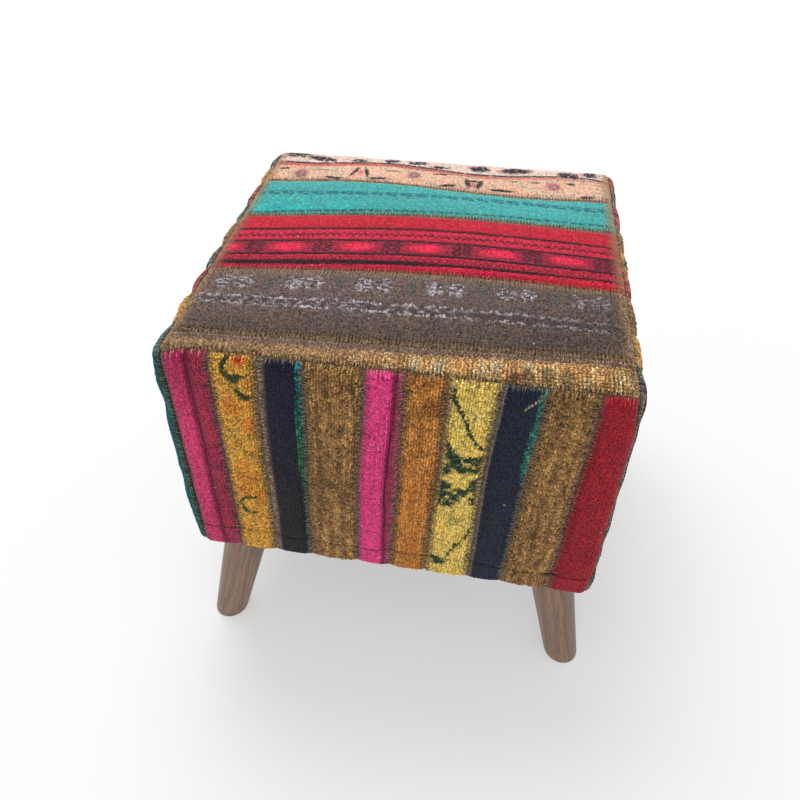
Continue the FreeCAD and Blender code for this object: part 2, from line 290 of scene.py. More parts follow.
leg_wood, start = new_finish("brown_stained_wood")
grain = stored(start, "grain")
drift = grain.noise(0.02, output=1)
drawn = grain.stretched((0.22, 0.22, 0.006))
swayed = start.node("VectorMath", {0: drift, 1: (1.6, 1.6, 0.0), 2: drawn}, operation="MULTIPLY_ADD")
rings = swayed.noise(1.0, 4.0, Roughness=0.6)
pores = grain.stretched((1.4, 1.4, 0.05)).noise(1.0, 3.0)
tone = rings.fade(0.62, 0.36).pick(dye(112, 86, 70), dye(152, 120, 98))
tone = (pores.fade(0.33, 0.5) * 0.7).pick(tone, dye(92, 68, 54))
lift = pores.bump(0.25, 0.0003)
surface_of(start, Base_Color=tone, Roughness=pores * 0.2 + 0.34, Normal=lift, Coat_Weight=0.15,
           Coat_Roughness=0.3)
for corner, (side_x, side_y) in corners.items():
    dress(leg_piece(corner, side_x, side_y), leg_wood, "leg_wood", "leg_" + corner)

# Cover, its cut and form: strips of worn hand-knotted rug, sewn side by side into one panel for the top and
# one for each side, then stretched over the padding. Foam swells each strip between its seams.
edge_radius = 12.0
half_body = 197.0
top_arc_level = 368.0
hem_arc_level = 128.5
top_crown = 9.0
side_bow = 3.0
hem_width = 8.0
hem_thinning = 3.5
hem_draw = 2.5
hem_draw_height = 70.0
hem_lap_drop = 1.6
hem_rise = 0.5
hem_slope = 0.033
hem_ease = 0.25
corner_shift = 6.0
left_corner_shift = 2.0
shift_from = 0.04
shift_over = 0.12
shift_until = 0.88
shift_back_over = 0.06
front_overlap = 6.0
overlap_fade = 14.0
pattern_length = 276.0
pattern_step = 125.0
seam_turn = edge_radius * math.pi / 4
hem_turn = edge_radius * math.pi / 2
rng = np.random.default_rng(11)
Panel = namedtuple("Panel", "across along outward middle half_along rise start end puff dip")
Strip = namedtuple("Strip", "panel node rug left right weave swelling shift")
ripples = {"ivory": [(6.0, 1.35, 0.345)]}
weaves = {"teal_border": 15.0, "magenta": 0.0}
shifts = {"09_olive": 130.0}


def axis(x, y, z):
    return np.array([x, y, z], dtype=float)


side_middle = (top_arc_level + hem_arc_level) / 2
side_half = (top_arc_level - hem_arc_level) / 2
core = half_body - edge_radius
panels = {"top": Panel(axis(0, -1, 0), axis(1, 0, 0), axis(0, 0, 1), axis(0, 0, top_arc_level), core,
                       top_crown, -core - seam_turn, core + seam_turn, 0.0, 2.8)}
for side, across, outward, puff, dip in (("front", axis(1, 0, 0), axis(0, -1, 0), 1.0, 3.4),
                                         ("right", axis(0, 1, 0), axis(1, 0, 0), 3.0, 1.6),
                                         ("back", axis(-1, 0, 0), axis(0, 1, 0), 3.0, 2.8),
                                         ("left", axis(0, -1, 0), axis(-1, 0, 0), 6.5, 1.4)):
    middle = outward * core + axis(0, 0, side_middle)
    panels[side] = Panel(across, axis(0, 0, 1), outward, middle, side_half, side_bow, side_half + seam_turn,
                         -side_half - hem_turn - hem_width, puff, dip)


def swell(share):
    """Share of the padding's rise, from 1 in the middle to 0 at the edges."""
    return np.clip(1 - share * share, 0, None) ** 1.5


def hemmed(panel):
    """The sides run down from the top to a hem; the top has none."""
    return panel.end < panel.start


def run_of(panel):
    return abs(panel.end - panel.start)


def hem_tilt(panel, p):
    """How far the hem is pulled up: unevenly along the front, and less along the sides towards the back."""
    spot = panel.middle + np.clip(p, -core, core)[..., None] * panel.across
    return (hem_rise - hem_slope * spot[..., 0]) * (0.5 - spot[..., 1] / (2 * core))


def surface(panel, p, q, lift=0.0):
    """Places p across and q along a panel, round its edges too, raised by lift; also the ways outward."""
    p, q, lift = np.broadcast_arrays(np.asarray(p, float), np.asarray(q, float), np.asarray(lift, float))
    quarter = np.pi / 2
    flat_p = np.clip(p, -core, core)
    raised = hem_tilt(panel, p) if hemmed(panel) else 0.0 * q
    flat_q = np.clip(q, raised - panel.half_along, panel.half_along)
    over = (q - flat_q) / edge_radius
    if hemmed(panel):
        bend = np.clip(over, -quarter, quarter)
        under = np.clip(-over - quarter, 0, None) * edge_radius
        drawn = np.clip(1 - (q + panel.half_along) / hem_draw_height, 0, 1) ** 2
        eased = hem_ease * np.clip(raised, 0, None) * np.clip(-2 * bend, 0, 1)
        thinner = hem_thinning * np.clip(-bend / quarter, 0, 1) + hem_draw * drawn - eased
        settled = np.clip(2 * under / (hem_width + raised), 0, 1) * (raised + hem_lap_drop)
    else:
        bend = np.clip(over, -quarter / 2, quarter / 2)
        under = thinner = settled = 0.0 * q
    mitre = (p - flat_p) / edge_radius * np.arctan(np.cos(bend)) / (quarter / 2)
    bulge = panel.rise * swell(flat_p / core) * swell(flat_q / panel.half_along)
    radius = (edge_radius - thinner + bulge + lift)[..., None]
    normal = np.cos(bend)[..., None] * panel.outward + np.sin(bend)[..., None] * panel.along
    normal = normal * np.cos(mitre)[..., None] + np.sin(mitre)[..., None] * panel.across
    base = panel.middle + (flat_p * (1 - under / core))[..., None] * panel.across
    base = base + (flat_q - settled)[..., None] * panel.along - under[..., None] * panel.outward
    return base + normal * radius, normal


def seam_line(place, lean, waves):
    """A hand-guided seam: its place across the panel at each share of the way along, leaning and wavering."""
    def at(t):
        wander = sum(size * np.sin(2 * np.pi * (turns * t + phase)) for size, turns, phase in waves)
        return place + lean * (0.5 - t) + wander
    return at


def overlap(p):
    """How far the front's strips reach over onto the top, more on the left than on the right."""
    return front_overlap * (0.5 - p / (2 * core)) * np.clip((core - np.abs(p)) / overlap_fade, 0, 1)


def corner_seam(side, end):
    """A panel's own edge: mitred on the top, and beside the upright corners, where the cover sits turned."""
    def at(t):
        t = np.asarray(t, float)
        edge = end * (core + seam_turn)
        if side == "top":
            return edge - (overlap((2 * t - 1) * (core + seam_turn)) if end > 0 else 0.0)
        away = np.clip((t - shift_from) / shift_over, 0, 1)
        away = away * np.clip((shift_until - t) / shift_back_over, 0, 1)
        turned = left_corner_shift if (side, end) in (("front", -1), ("left", 1)) else corner_shift
        return edge + turned * away * away * (3 - 2 * away)
    return at


def cut_strips(side, strips, leans, waver):
    """Strips of one panel between their seams, from the widths they were cut to."""
    panel = panels[side]
    widths = np.array([width for name, rug, width in strips], float)
    places = 2 * half_body * (np.cumsum(widths)[:-1] / widths.sum() - 0.5)
    lines = [corner_seam(side, -1)]
    for place, lean in zip(places, leans):
        waves = [(waver * rng.uniform(0.3, 1.0) / turns, turns * rng.uniform(0.8, 1.2), rng.uniform())
                 for turns in (1, 2, 5)]
        lines.append(seam_line(place, lean, waves + ripples.get(strips[len(lines) - 1][0], [])))
    lines.append(corner_seam(side, 1))
    made, begun = [], {"navy": 0.0}
    for index, (name, rug, width) in enumerate(strips):
        weave = lines[index]
        if rug in weaves:
            weave = seam_line(places[index - 1] if index else -core - seam_turn, weaves[rug], ())
        shift = float(rng.uniform(20, 240))
        if side in ("front", "top"):
            shift = shifts.get(name, 0.0)
        elif rug in begun:
            shift = (begun[rug] + pattern_step) % pattern_length if begun[rug] else 0.0
        begun.setdefault(rug, shift)
        node = side + "_strip_" + name
        made.append(Strip(panel, node, rug, lines[index], lines[index + 1], weave, None, shift))
    return made


def plain_names(*strips):
    """Strips that are named for the rug they are cut from."""
    return [(rug, rug, width) for rug, width in strips]


cover = []
cover += cut_strips("front", (("01_magenta", "magenta", 45.5), ("02_gold", "gold", 37.5),
                              ("03_navy", "navy", 38.5), ("04_olive", "olive", 46.5),
                              ("05_pink", "pink", 33.5), ("06_rust", "rust", 35), ("07_yellow", "yellow", 40),
                              ("08_navy", "midnight", 35), ("09_olive", "olive", 44),
                              ("10_crimson", "crimson", 38.5)),
                    (2, 8, 8, 13, 13, 12, 13, 17, 10), 1.3)
cover += cut_strips("right", plain_names(("navy", 46), ("gold", 46), ("olive", 50), ("crimson", 44),
                                         ("gold", 46), ("olive", 44), ("magenta", 50), ("navy", 38),
                                         ("crimson", 36)), (4, -3, 6, 2, -4, 5, -3, 4), 0.9)
cover += cut_strips("back", plain_names(("olive", 42), ("pink", 46), ("navy", 44), ("yellow", 40),
                                        ("crimson", 48), ("olive", 46), ("navy", 42), ("pink", 44),
                                        ("yellow", 48)), (-4, 5, 3, -5, 4, -2, 6, -3), 0.9)
cover += cut_strips("left", plain_names(("navy", 42), ("gold", 44), ("crimson", 44), ("teal", 42),
                                        ("olive", 48), ("navy", 44), ("crimson", 46), ("gold", 44),
                                        ("teal", 46)), (3, -4, 5, 4, -3, 2, -5, 4), 0.9)
cover += cut_strips("top", (("ivory", "ivory", 82), ("teal", "teal_border", 74), ("red", "red", 107),
                            ("grey", "grey", 101), ("gold", "gold_edge", 36)), (-2.6, 22, 17, 17), 0.8)
grid_step = 7
strip_spacing = 40
cloth_steps = 24
smoothings = 3
full_percentile = 85
fullest = 1.25
fullness = 2.4
past_full = 0.6


def width_of(strip):
    return float(strip.right(0.5) - strip.left(0.5))


def place_across(strip, s, t):
    """Place across the panel at shares s across and t along a strip."""
    return strip.left(t) + s * (strip.right(t) - strip.left(t))


def swelling_grid(strip):
    """Shares across and along a strip where the padding's push on it is worked out."""
    across = max(5, round(width_of(strip) / grid_step))
    return np.linspace(0, 1, across), np.linspace(0, 1, round(run_of(strip.panel) / grid_step) + 1)


def padded_swelling(strips):
    """Cloth run: the strips lie flat, held at their seams and hems, and the foam pushes them up between."""
    vertices, faces, held, grids = [], [], [], []
    for strip in strips:
        across, along = swelling_grid(strip)
        t, s = np.meshgrid(along, across, indexing="ij")
        p = place_across(strip, s, t)
        q = strip.panel.start + t * (strip.panel.end - strip.panel.start)
        sewn = (s == 0) | (s == 1) | (t == 0) | (t == 1)
        first = sum(len(part) for part in vertices)
        rise = rng.uniform(0, 0.6, p.shape) * ~sewn
        flat = np.stack([p, q, rise], axis=-1).reshape(-1, 3)
        vertices.append(flat + axis(0, 0, strip_spacing * len(vertices)))
        faces.append(grid_quads(len(along), len(across)) + first)
        held.append(sewn.ravel())
        grids.append(p.shape)
    sheet = build("flat_cover", np.concatenate(vertices), np.concatenate(faces))
    group = sheet.vertex_groups.new(name="sewn")
    group.add(np.flatnonzero(np.concatenate(held)).tolist(), 1.0, "REPLACE")
    cloth = sheet.modifiers.new("padding", "CLOTH")
    wool = cloth.settings
    wool.quality = 4
    wool.mass = 0.15
    wool.tension_stiffness = 12.0
    wool.compression_stiffness = 12.0
    wool.bending_stiffness = 0.3
    wool.shrink_min = -0.015
    wool.vertex_group_mass = "sewn"
    wool.effector_weights.gravity = -0.5
    cloth.collision_settings.use_collision = False
    cloth.point_cache.frame_start = 1
    cloth.point_cache.frame_end = cloth_steps
    for step in range(1, cloth_steps + 1):
        bpy.context.scene.frame_set(step)
    pushed = sheet.evaluated_get(bpy.context.evaluated_depsgraph_get()).data
    heights = np.empty(len(pushed.vertices) * 3, dtype=np.float32)
    pushed.vertices.foreach_get("co", heights)
    heights = heights.reshape(-1, 3)[:, 2] * 1000
    bpy.data.objects.remove(sheet)
    bpy.context.scene.frame_set(1)
    result, first = [], 0
    for index, shape in enumerate(grids):
        count = shape[0] * shape[1]
        result.append((heights[first:first + count] - strip_spacing * index).reshape(shape))
        first += count
    return result


def full_shape(height):
    """Swelling from 0 at the seams to about 1 between them, fuller than a plain arch, with its unevenness."""
    share = np.clip(height / max(np.percentile(height, full_percentile), 0.01), 0, fullest)
    full = np.where(share < 1, 1 - (1 - np.minimum(share, 1)) ** fullness, 1 + past_full * (share - 1))
    for _ in range(smoothings):
        full[1:-1] = (full[:-2] + 2 * full[1:-1] + full[2:]) / 4
    return full


swellings = [full_shape(height) for height in padded_swelling(cover)]
cover = [strip._replace(swelling=swelling) for strip, swelling in zip(cover, swellings)]


def swelling_at(strip, s, t):
    """Swelling of a strip at shares s across and t along, read between the worked-out places."""
    rows, columns = strip.swelling.shape
    row = np.clip(t, 0, 1) * (rows - 1)
    column = np.clip(s, 0, 1) * (columns - 1)
    r = np.minimum(row.astype(int), rows - 2)
    c = np.minimum(column.astype(int), columns - 2)
    a, b = row - r, column - c
    g = strip.swelling
    before = g[r, c] * (1 - a) * (1 - b) + g[r, c + 1] * (1 - a) * b
    return before + g[r + 1, c] * a * (1 - b) + g[r + 1, c + 1] * a * b


# Rug strips: wool tufts knotted row by row on a cotton ground, clipped short and worn. Each strip is a ground
# sheet, tucked in at its seams and hemmed under the base, with every knot's tuft standing on it.
Pile = namedtuple("Pile", "knot row height blunt ruffle nap")
velvet = Pile(2.0, 1.5, 1.0, 0.9, 0.10, 0.06)
shaggy = Pile(2.2, 1.6, 1.5, 0.78, 0.24, 0.08)
clipped = Pile(1.9, 1.5, 0.8, 0.92, 0.08, 0.05)
piles = {"magenta": velvet, "pink": velvet, "crimson": velvet, "navy": velvet, "midnight": velvet,
         "teal": velvet, "gold": shaggy, "olive": shaggy, "rust": shaggy, "yellow": shaggy,
         "gold_edge": shaggy, "ivory": clipped, "teal_border": clipped, "red": clipped,
         "grey": clipped._replace(height=1.2, ruffle=0.2, blunt=0.75)}
creases = {"magenta": 26.0, "pink": 25.2}
crease_width = 2.2
crease_depth = 1.8
hem_crease_rise = 23.0
hem_crease_width = 1.1
side_length = 275.0
dip_fade = 45.0
pile_sunk = 0.85
seam_tuck = 4.0
knot_stray = 0.16
row_stray = 0.12
short_by_seam = 3.5
short_by_end = 4.0
seam_lean = 0.7
seam_lean_fade = 2.5
ruffle_lean = 1.2
tuft_width = (0.55, 0.8)
tuft_rooted = 0.3
hem_crease_share = 0.8
crease_end = 30.0
last_tufts = 0.8 * hem_turn
far_from_hem = 200.0
Fabric = namedtuple("Fabric", "points quads triangles uv knot edge")


def crease_height(strip, p, q):
    """Height above the wavering crease along the stitches of the hem."""
    waver = 1.2 * np.sin(p / 31.0) + 0.7 * np.sin(p / 11.0 + 1.0)
    return q + strip.panel.half_along - hem_tilt(strip.panel, p) - hem_crease_rise - waver


def along_strip(strip, s, t):
    """Places on a panel at shares of a strip, its distances from seams and sewn ends, and its creases."""
    panel = strip.panel
    p = place_across(strip, s, t)
    q = panel.start + t * (panel.end - panel.start)
    if panel is panels["front"]:
        q = q + (1 - t) * overlap(p)
    length = run_of(panel)
    seam = np.minimum(s, 1 - s) * (strip.right(t) - strip.left(t))
    end = t * length if hemmed(panel) else np.minimum(t, 1 - t) * length
    dent = 0.0 * s
    if strip.rug in creases:
        dent = np.exp(-((p - strip.weave(t) - creases[strip.rug]) / crease_width) ** 2)
        dent = dent * np.clip((1 - t) * length / crease_end - 0.9, 0, 1)
    if hemmed(panel):
        pressed = np.exp(-(crease_height(strip, p, q) / hem_crease_width) ** 2)
        dent = np.maximum(dent, hem_crease_share * pressed)
    return p, q, seam, end, dent


def ground_lift(strip, pile, s, t, dent):
    """Height of the rug's ground against the cover's full outline."""
    swelling = swelling_at(strip, s, t)
    drawn = strip.panel.dip
    if hemmed(strip.panel):
        drawn = drawn * np.clip((1 - t) * side_length / dip_fade - 0.5, 0.25, 1)
    puff = strip.panel.puff * swelling
    if strip.panel.puff:
        puff = puff * np.clip(1.25 * (1 - t) / (hem_turn + hem_width) * side_length - 0.25, 0, 1)
    return (swelling - 1) * drawn + puff - pile_sunk * pile.height - crease_depth * dent


def facts_at(strip, s, t, seam, end, q, tip):
    """Values for the finishes: place in the rug's pattern and height on the tuft, and distances to edges."""
    p = place_across(strip, s, t)
    along = t * run_of(strip.panel)
    if strip.shift:
        along = (along + strip.shift) % pattern_length
    knot = np.stack([p - strip.weave(t), along, np.broadcast_to(tip, s.shape)], axis=-1)
    foot = np.abs(crease_height(strip, p, q)) if hemmed(strip.panel) else 0.0 * q + far_from_hem
    return knot, np.stack([seam, end, foot], axis=-1)


def ground_sheet(strip, pile, columns, rows):
    """The cotton ground of a strip as a grid, with its long edges tucked down into the seams."""
    s_line = np.concatenate([[0.0], np.linspace(0, 1, columns + 1), [1.0]])
    tuck = np.zeros(columns + 3)
    tuck[[0, -1]] = seam_tuck
    t, s = np.meshgrid(np.linspace(0, 1, rows + 1), s_line, indexing="ij")
    p, q, seam, end, dent = along_strip(strip, s, t)
    points, _ = surface(strip.panel, p, q, ground_lift(strip, pile, s, t, dent) - tuck)
    quads = grid_quads(rows + 1, columns + 3)
    if hemmed(strip.panel):
        quads = quads[:, ::-1]
    knot, edge = facts_at(strip, s, t, seam, end, q, 0.0)
    return Fabric(points, quads, np.empty((0, 3), int), np.stack([s, t], axis=-1), knot, edge)


def tuft_field(strip, pile, columns, rows):
    """A three-sided tuft on every knot of a strip, shorter and leaning outwards beside the seams."""
    t, s = np.meshgrid((np.arange(rows) + 0.5) / rows, (np.arange(columns) + 0.5) / columns, indexing="ij")
    s = (s + rng.uniform(-knot_stray, knot_stray, s.shape) / columns).ravel()
    t = (t + rng.uniform(-row_stray, row_stray, t.shape) / rows).ravel()
    p, q, seam, end, dent = along_strip(strip, s, t)
    if hemmed(strip.panel):
        shown = q > -strip.panel.half_along - last_tufts
        s, t, p, q, seam, end, dent = [value[shown] for value in (s, t, p, q, seam, end, dent)]
    count = len(s)
    ground = ground_lift(strip, pile, s, t, dent)
    root, normal = surface(strip.panel, p, q, ground)
    aside = surface(strip.panel, p + 0.5, q, ground)[0] - root
    aside /= np.linalg.norm(aside, axis=1, keepdims=True)
    along = np.cross(normal, aside)
    shorter = 0.5 + 0.5 * np.clip(seam / short_by_seam, 0, 1)
    shorter = shorter * (0.5 + 0.5 * np.clip(end / short_by_end, 0, 1)) * (1 - 0.6 * dent)
    height = pile.height * (1 + pile.ruffle * np.clip(rng.normal(size=count), -2, 2)) * shorter
    outwards = np.where(s < 0.5, -seam_lean, seam_lean) * np.exp(-seam / seam_lean_fade)
    lean_p = outwards + pile.ruffle * ruffle_lean * rng.normal(size=count)
    lean_q = -pile.nap + pile.ruffle * ruffle_lean * rng.normal(size=count)
    tip = root + height[:, None] * (normal + lean_p[:, None] * aside + lean_q[:, None] * along)
    angle = rng.uniform(0, 2 * np.pi, count)[:, None] + np.arange(3) * 2 * np.pi / 3
    ring = pile.knot * np.cos(angle)[..., None] * aside[:, None]
    ring = ring + pile.row * np.sin(angle)[..., None] * along[:, None]
    wide = rng.uniform(*tuft_width, count)[:, None, None]
    low = root[:, None] - tuft_rooted * normal[:, None] + wide * ring
    high = tip[:, None] + pile.blunt * wide * ring
    points = np.concatenate([low, high], axis=1)
    spread = np.stack([np.cos(angle) / columns, np.sin(angle) / rows], axis=-1)
    centre = np.stack([s, t], axis=-1)[:, None]
    uv = np.concatenate([centre + 0.45 * spread, centre + 0.3 * spread], axis=1)
    first = np.arange(count)[:, None] * 6
    quads = np.concatenate([first + np.array([i, (i + 1) % 3, (i + 1) % 3 + 3, i + 3]) for i in range(3)])
    knot, edge = facts_at(strip, s, t, seam, end, q, 0.0)
    knot = np.repeat(knot[:, None], 6, axis=1)
    knot[:, 3:, 2] = 1.0
    return Fabric(points, quads, first + np.array([3, 4, 5]), uv, knot, np.repeat(edge[:, None], 6, axis=1))


def rug_piece(node, strips, finish):
    """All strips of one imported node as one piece, side by side in the bake map."""
    parts = []
    first = 0
    for index, strip in enumerate(strips):
        pile = piles[strip.rug]
        columns = max(6, round(width_of(strip) / pile.knot))
        rows = round(run_of(strip.panel) / pile.row)
        sheet = ground_sheet(strip, pile, columns // 2, rows // 2)
        for part in (sheet, tuft_field(strip, pile, columns, rows)):
            u, v = np.clip(part.uv.reshape(-1, 2), 0, 1).T
            uv = np.stack([(index + 0.02 + 0.96 * u) / len(strips), 0.01 + 0.98 * v], axis=-1)
            parts.append(Fabric(part.points.reshape(-1, 3), part.quads + first, part.triangles + first, uv,
                                part.knot.reshape(-1, 3), part.edge.reshape(-1, 3)))
            first += len(parts[-1].points)
    whole = Fabric(*[np.concatenate(arrays) for arrays in zip(*parts)])
    piece = build("rug_" + node, whole.points, whole.quads, whole.triangles, whole.uv, knot=whole.knot,
                  edge=whole.edge)
    dress(piece, finish, "rug_" + node.split("_")[-1], node)


Rug = namedtuple("Rug", "x y spot mottle fleck")


def bar(x, low, high, soft=0.7):
    """Mask of a stripe from low to high."""
    half = (high - low) / 2
    return abs(x - (low + half)).fade(half - soft, half + soft)


def every(x, first, period):
    """Distance along x from the nearest of figures that repeat."""
    return x.maths("WRAP", x - first, period / 2, -period / 2)


def many(masks):
    """Mask of several figures together."""
    joined = masks[0]
    for mask in masks[1:]:
        joined = joined.maths("MAXIMUM", joined, mask)
    return joined


def oval(spot, x, y, half_x, half_y, turn=0.0):
    """How far places are from the middle of an oval, 1 at its rim."""
    inside = spot.node("Mapping", {0: spot, 1: (x, y, 0.0), 2: (0.0, 0.0, math.radians(turn)),
                                   3: (half_x, half_y, 1.0)}, vector_type="TEXTURE")
    return inside.node("VectorMath", {0: inside}, 1, operation="LENGTH")


def ovals(spot, *figures):
    """Mask of filled ovals, each joined to the rest as soon as it is made, which keeps the finish small."""
    joined = oval(spot, *figures[0]).fade(0.75, 1.15)
    for figure in figures[1:]:
        joined = joined.maths("MAXIMUM", joined, oval(spot, *figure).fade(0.75, 1.15))
    return joined


def vine(spot, half, *path):
    """Mask of a drawn line, with one long stroke from each place of its path to the next."""
    strokes = []
    for (x, y), (next_x, next_y) in zip(path, path[1:]):
        run = math.hypot(next_x - x, next_y - y)
        turn = math.degrees(math.atan2(next_y - y, next_x - x))
        strokes.append(((x + next_x) / 2, (y + next_y) / 2, 0.65 * run + half, half, turn))
    return ovals(spot, *strokes)


def repeat(rug, first, period):
    """Places round the nearest of figures that repeat along a strip."""
    return rug.x.node("CombineXYZ", {0: rug.x, 1: every(rug.y, first, period), 2: 0.0})


def uneven(rug, light, dark):
    """Ground colour that drifts between two dyes."""
    return rug.mottle.fade(0.7, 0.33).pick(light, dark)


def lumps(rug):
    """Mask of the knots, two or three together, that make a narrow line uneven."""
    return drawn_out(rug.x, rug.x * 0.25, rug.y * 0.42, 0.0, 1.0).fade(0.56, 0.44)


def drawn_out(start, x, y, lot, detail=2.0):
    """Noise whose places are scaled apart across and along, so that it lies in rows or in streaks."""
    return start.node("CombineXYZ", {0: x, 1: y, 2: lot}).noise(1.0, detail)


def shaken(place, stray, size):
    """Places moved about by up to half of size, as the three values of a noise say."""
    moved = place.node("VectorMath", {0: stray, 1: (size, size, 0.0), 2: place}, operation="MULTIPLY_ADD")
    return place.node("VectorMath", {0: moved, 1: (-size / 2, -size / 2, 0.0)}, operation="ADD")


def rug_finish(name, paint, border, brown=2.6, contrast=0.85, turned=(1.0, 5.0)):
    """Dyed wool: the pattern, uneven dye, each knot its own tone; painted shade between tufts, by seams, in
    creases.
    """
    finish, start = new_finish(name + "_rug")
    x, y, tip = stored(start, "knot").parts()
    seam, end, foot = stored(start, "edge").parts()
    place = start.node("CombineXYZ", {0: x, 1: y, 2: 0.0})
    mottle = place.noise(0.045, 4.0, Roughness=0.65)
    rows = drawn_out(start, x * 0.02, y * 0.3, 3.0)
    streaks = drawn_out(start, x * 0.45, y * 0.015, 7.0)
    fleck = start.node("TexWhiteNoise", {"Vector": place})
    shiver = place.noise(0.35, output=1)
    spot = shaken(place, shiver, 3.0)
    shaken_x, shaken_y, _ = spot.parts()
    clump, _, _ = shiver.parts()
    colour = paint(Rug(shaken_x, shaken_y, spot, mottle, fleck))
    ragged = (fleck - 0.5) * 2.0
    worn = many([(seam + ragged).fade(brown * 0.6, brown * 1.5), (end + ragged * 2).fade(*turned) * 0.85])
    colour = worn.pick(colour, border)
    beside = seam.fade(brown * 1.4, brown * 2.2)
    stitched = many([beside, end.fade(8.0, 12.0)])
    combed = many([abs(every(y, 0.0, 3.3)).fade(0.5, 1.2) * beside,
                   abs(every(x, 0.0, 3.3)).fade(0.5, 1.2) * end.fade(8.0, 12.0)])
    # Painted shade in the hem's crease: a dark line along the hem stitches, uneven along its length.
    crease = foot.fade(0.4, 2.4) * (mottle.fade(0.6, 0.4) * 0.5 + 0.2)
    colour = crease.pick(colour, dye(38, 26, 22))
    tone = 1 + (fleck - 0.5) * contrast + (mottle - 0.5) * 1.2 + (rows - 0.5) * 0.35 + (streaks - 0.5) * 0.6
    tone = tone + (clump - 0.5) * 1.5
    # Painted shade: darker in the valleys beside the seams, fading out over 8 mm.
    tone = tone * (1 - (seam + ragged).fade(0.0, 8.0) * 0.5) + combed * 0.65 - stitched * 0.2
    # Painted shade: darker towards the roots of the tufts and on the ground between them.
    tone = tone.maths("MAXIMUM", tone, 0.05) * (tip * 0.5 + 0.5)
    colour = start.node("Mix", {0: 1.0, 6: colour, 7: tone}, 2, data_type="RGBA", blend_type="MULTIPLY")
    lint = 1 - fleck.fade(0.9996, 0.9998)
    colour = (lint * tip).pick(colour, dye(225, 215, 200))
    surface_of(start, Base_Color=colour, Roughness=0.95 - tip * 0.2, Sheen_Weight=0.15, Sheen_Roughness=0.4,
               Specular_IOR_Level=0.25)
    return finish


def magenta_dye(rug):
    """Pink, wine red near the top, with painted shade in a fold beside a dull red edge."""
    ground = uneven(rug, dye(252, 82, 142), dye(192, 44, 96))
    ground = (rug.y.fade(35, 95) * 0.5).pick(ground, dye(158, 26, 74))
    ground = (rug.y.fade(190, 130) * 0.3).pick(ground, dye(168, 34, 78))
    ground = rug.x.fade(31, 26.5).pick(ground, dye(178, 54, 82))
    ground = rug.x.fade(7, 9.5).pick(ground, dye(112, 76, 78))
    # Painted shade along the fold of the crease, beside the dull red edge.
    return bar(rug.x, 24, 29.2, 2.6).pick(ground, dye(104, 20, 50))


def pink_dye(rug):
    """Bright pink with painted shade in a fold beside a dull red edge."""
    ground = uneven(rug, dye(254, 81, 152), dye(212, 52, 121))
    ground = rug.x.fade(29, 26.5).pick(ground, dye(170, 69, 78))
    # Painted shade along the fold of the crease, beside the dull red edge.
    return bar(rug.x, 23.2, 27.6, 2).pick(ground, dye(110, 18, 58))


def crimson_dye(rug):
    return uneven(rug, dye(187, 31, 48), dye(139, 17, 33))


def navy_dye(rug):
    """Dark blue, blacker below, with pale ticks on a brown left edge and a green line on the right."""
    ground = uneven(rug, dye(30, 29, 36), dye(18, 15, 20))
    ground = rug.y.fade(60, 170).pick(ground, uneven(rug, dye(28, 27, 60), dye(15, 12, 34)))
    ground = rug.x.fade(6, 8.5).pick(ground, dye(118, 89, 72))
    ticks = bar(every(rug.y, 0, 4.2), -1, 1) * bar(rug.x, 0.5, 5.5) * rug.fleck.fade(0.7, 0.4)
    ground = ticks.pick(ground, dye(196, 186, 176))
    line = rug.y.fade(30, 90).pick(dye(58, 132, 92), dye(30, 158, 164))
    line = lumps(rug).pick(dye(24, 66, 50), line)
    return bar(rug.x, 32.6, 39, 1).pick(ground, line)


def midnight_dye(rug):
    """Blue black with a green line near the top and one loose fibre."""
    ground = uneven(rug, dye(31, 41, 66), dye(16, 21, 36))
    ground = rug.x.fade(3, 5).pick(ground, dye(128, 116, 106))
    line = bar(rug.x, 30, 36, 1) * rug.y.fade(92, 108)
    ground = line.pick(ground, lumps(rug).pick(dye(22, 74, 66), dye(52, 164, 138)))
    fibre = vine(rug.spot, 0.9, (31, 8), (28.5, 14), (21.5, 22))
    return (fibre * 0.7).pick(ground, dye(196, 186, 150))


def olive_dye(rug):
    """Brown and tan in streaks and patches, with faint flowers and leaves."""
    ground = uneven(rug, dye(208, 156, 90), dye(122, 88, 48))
    nap = drawn_out(rug.x, rug.x * 0.13, rug.y * 0.011, 2, 1)
    ground = (nap.fade(0.38, 0.5) * 0.5).pick(ground, dye(92, 66, 38))
    ground = (nap.fade(0.66, 0.52) * 0.45).pick(ground, dye(224, 178, 108))
    patch = rug.spot.noise(0.13, 3, Roughness=0.6)
    ground = (patch.fade(0.34, 0.5) * 0.65).pick(ground, dye(78, 58, 38))
    ground = (patch.fade(0.7, 0.56) * 0.55).pick(ground, dye(216, 176, 118))
    ground = (rug.fleck.fade(0.06, 0.14) * 0.7).pick(ground, dye(232, 190, 116))
    spots = ovals(rug.spot, (35, 22, 7, 5.5), (33.5, 39, 6, 5), (27, 30, 4, 4), (20, 190, 6, 4))
    ground = (spots * 0.55).pick(ground, dye(142, 76, 60))
    leaves = ovals(rug.spot, (31, 67, 4, 7, 20), (12, 88, 3, 6), (24, 136, 4, 6, -30), (26, 212, 9, 3, 15))
    ground = (leaves * 0.6).pick(ground, dye(78, 66, 36))
    return (bar(rug.x, 40.5, 42.5, 0.9) * rug.y.fade(90, 160) * 0.6).pick(ground, dye(70, 50, 30))


def rust_dye(rug):
    """Orange, in streaks below and with darker patches near the top."""
    ground = uneven(rug, dye(222, 138, 54), dye(178, 100, 36))
    streaks = drawn_out(rug.x, rug.x * 0.32, rug.y * 0.012, 0)
    ground = (streaks.fade(0.62, 0.45) * rug.y.fade(130, 70)).pick(dye(226, 156, 76), ground)
    ground = (streaks.fade(0.36, 0.5) * 0.4).pick(ground, dye(132, 74, 28))
    top = rug.y.fade(40, 120) * (rug.mottle.fade(0.42, 0.56) * 0.45 + 0.08)
    return top.pick(ground, dye(104, 56, 22))


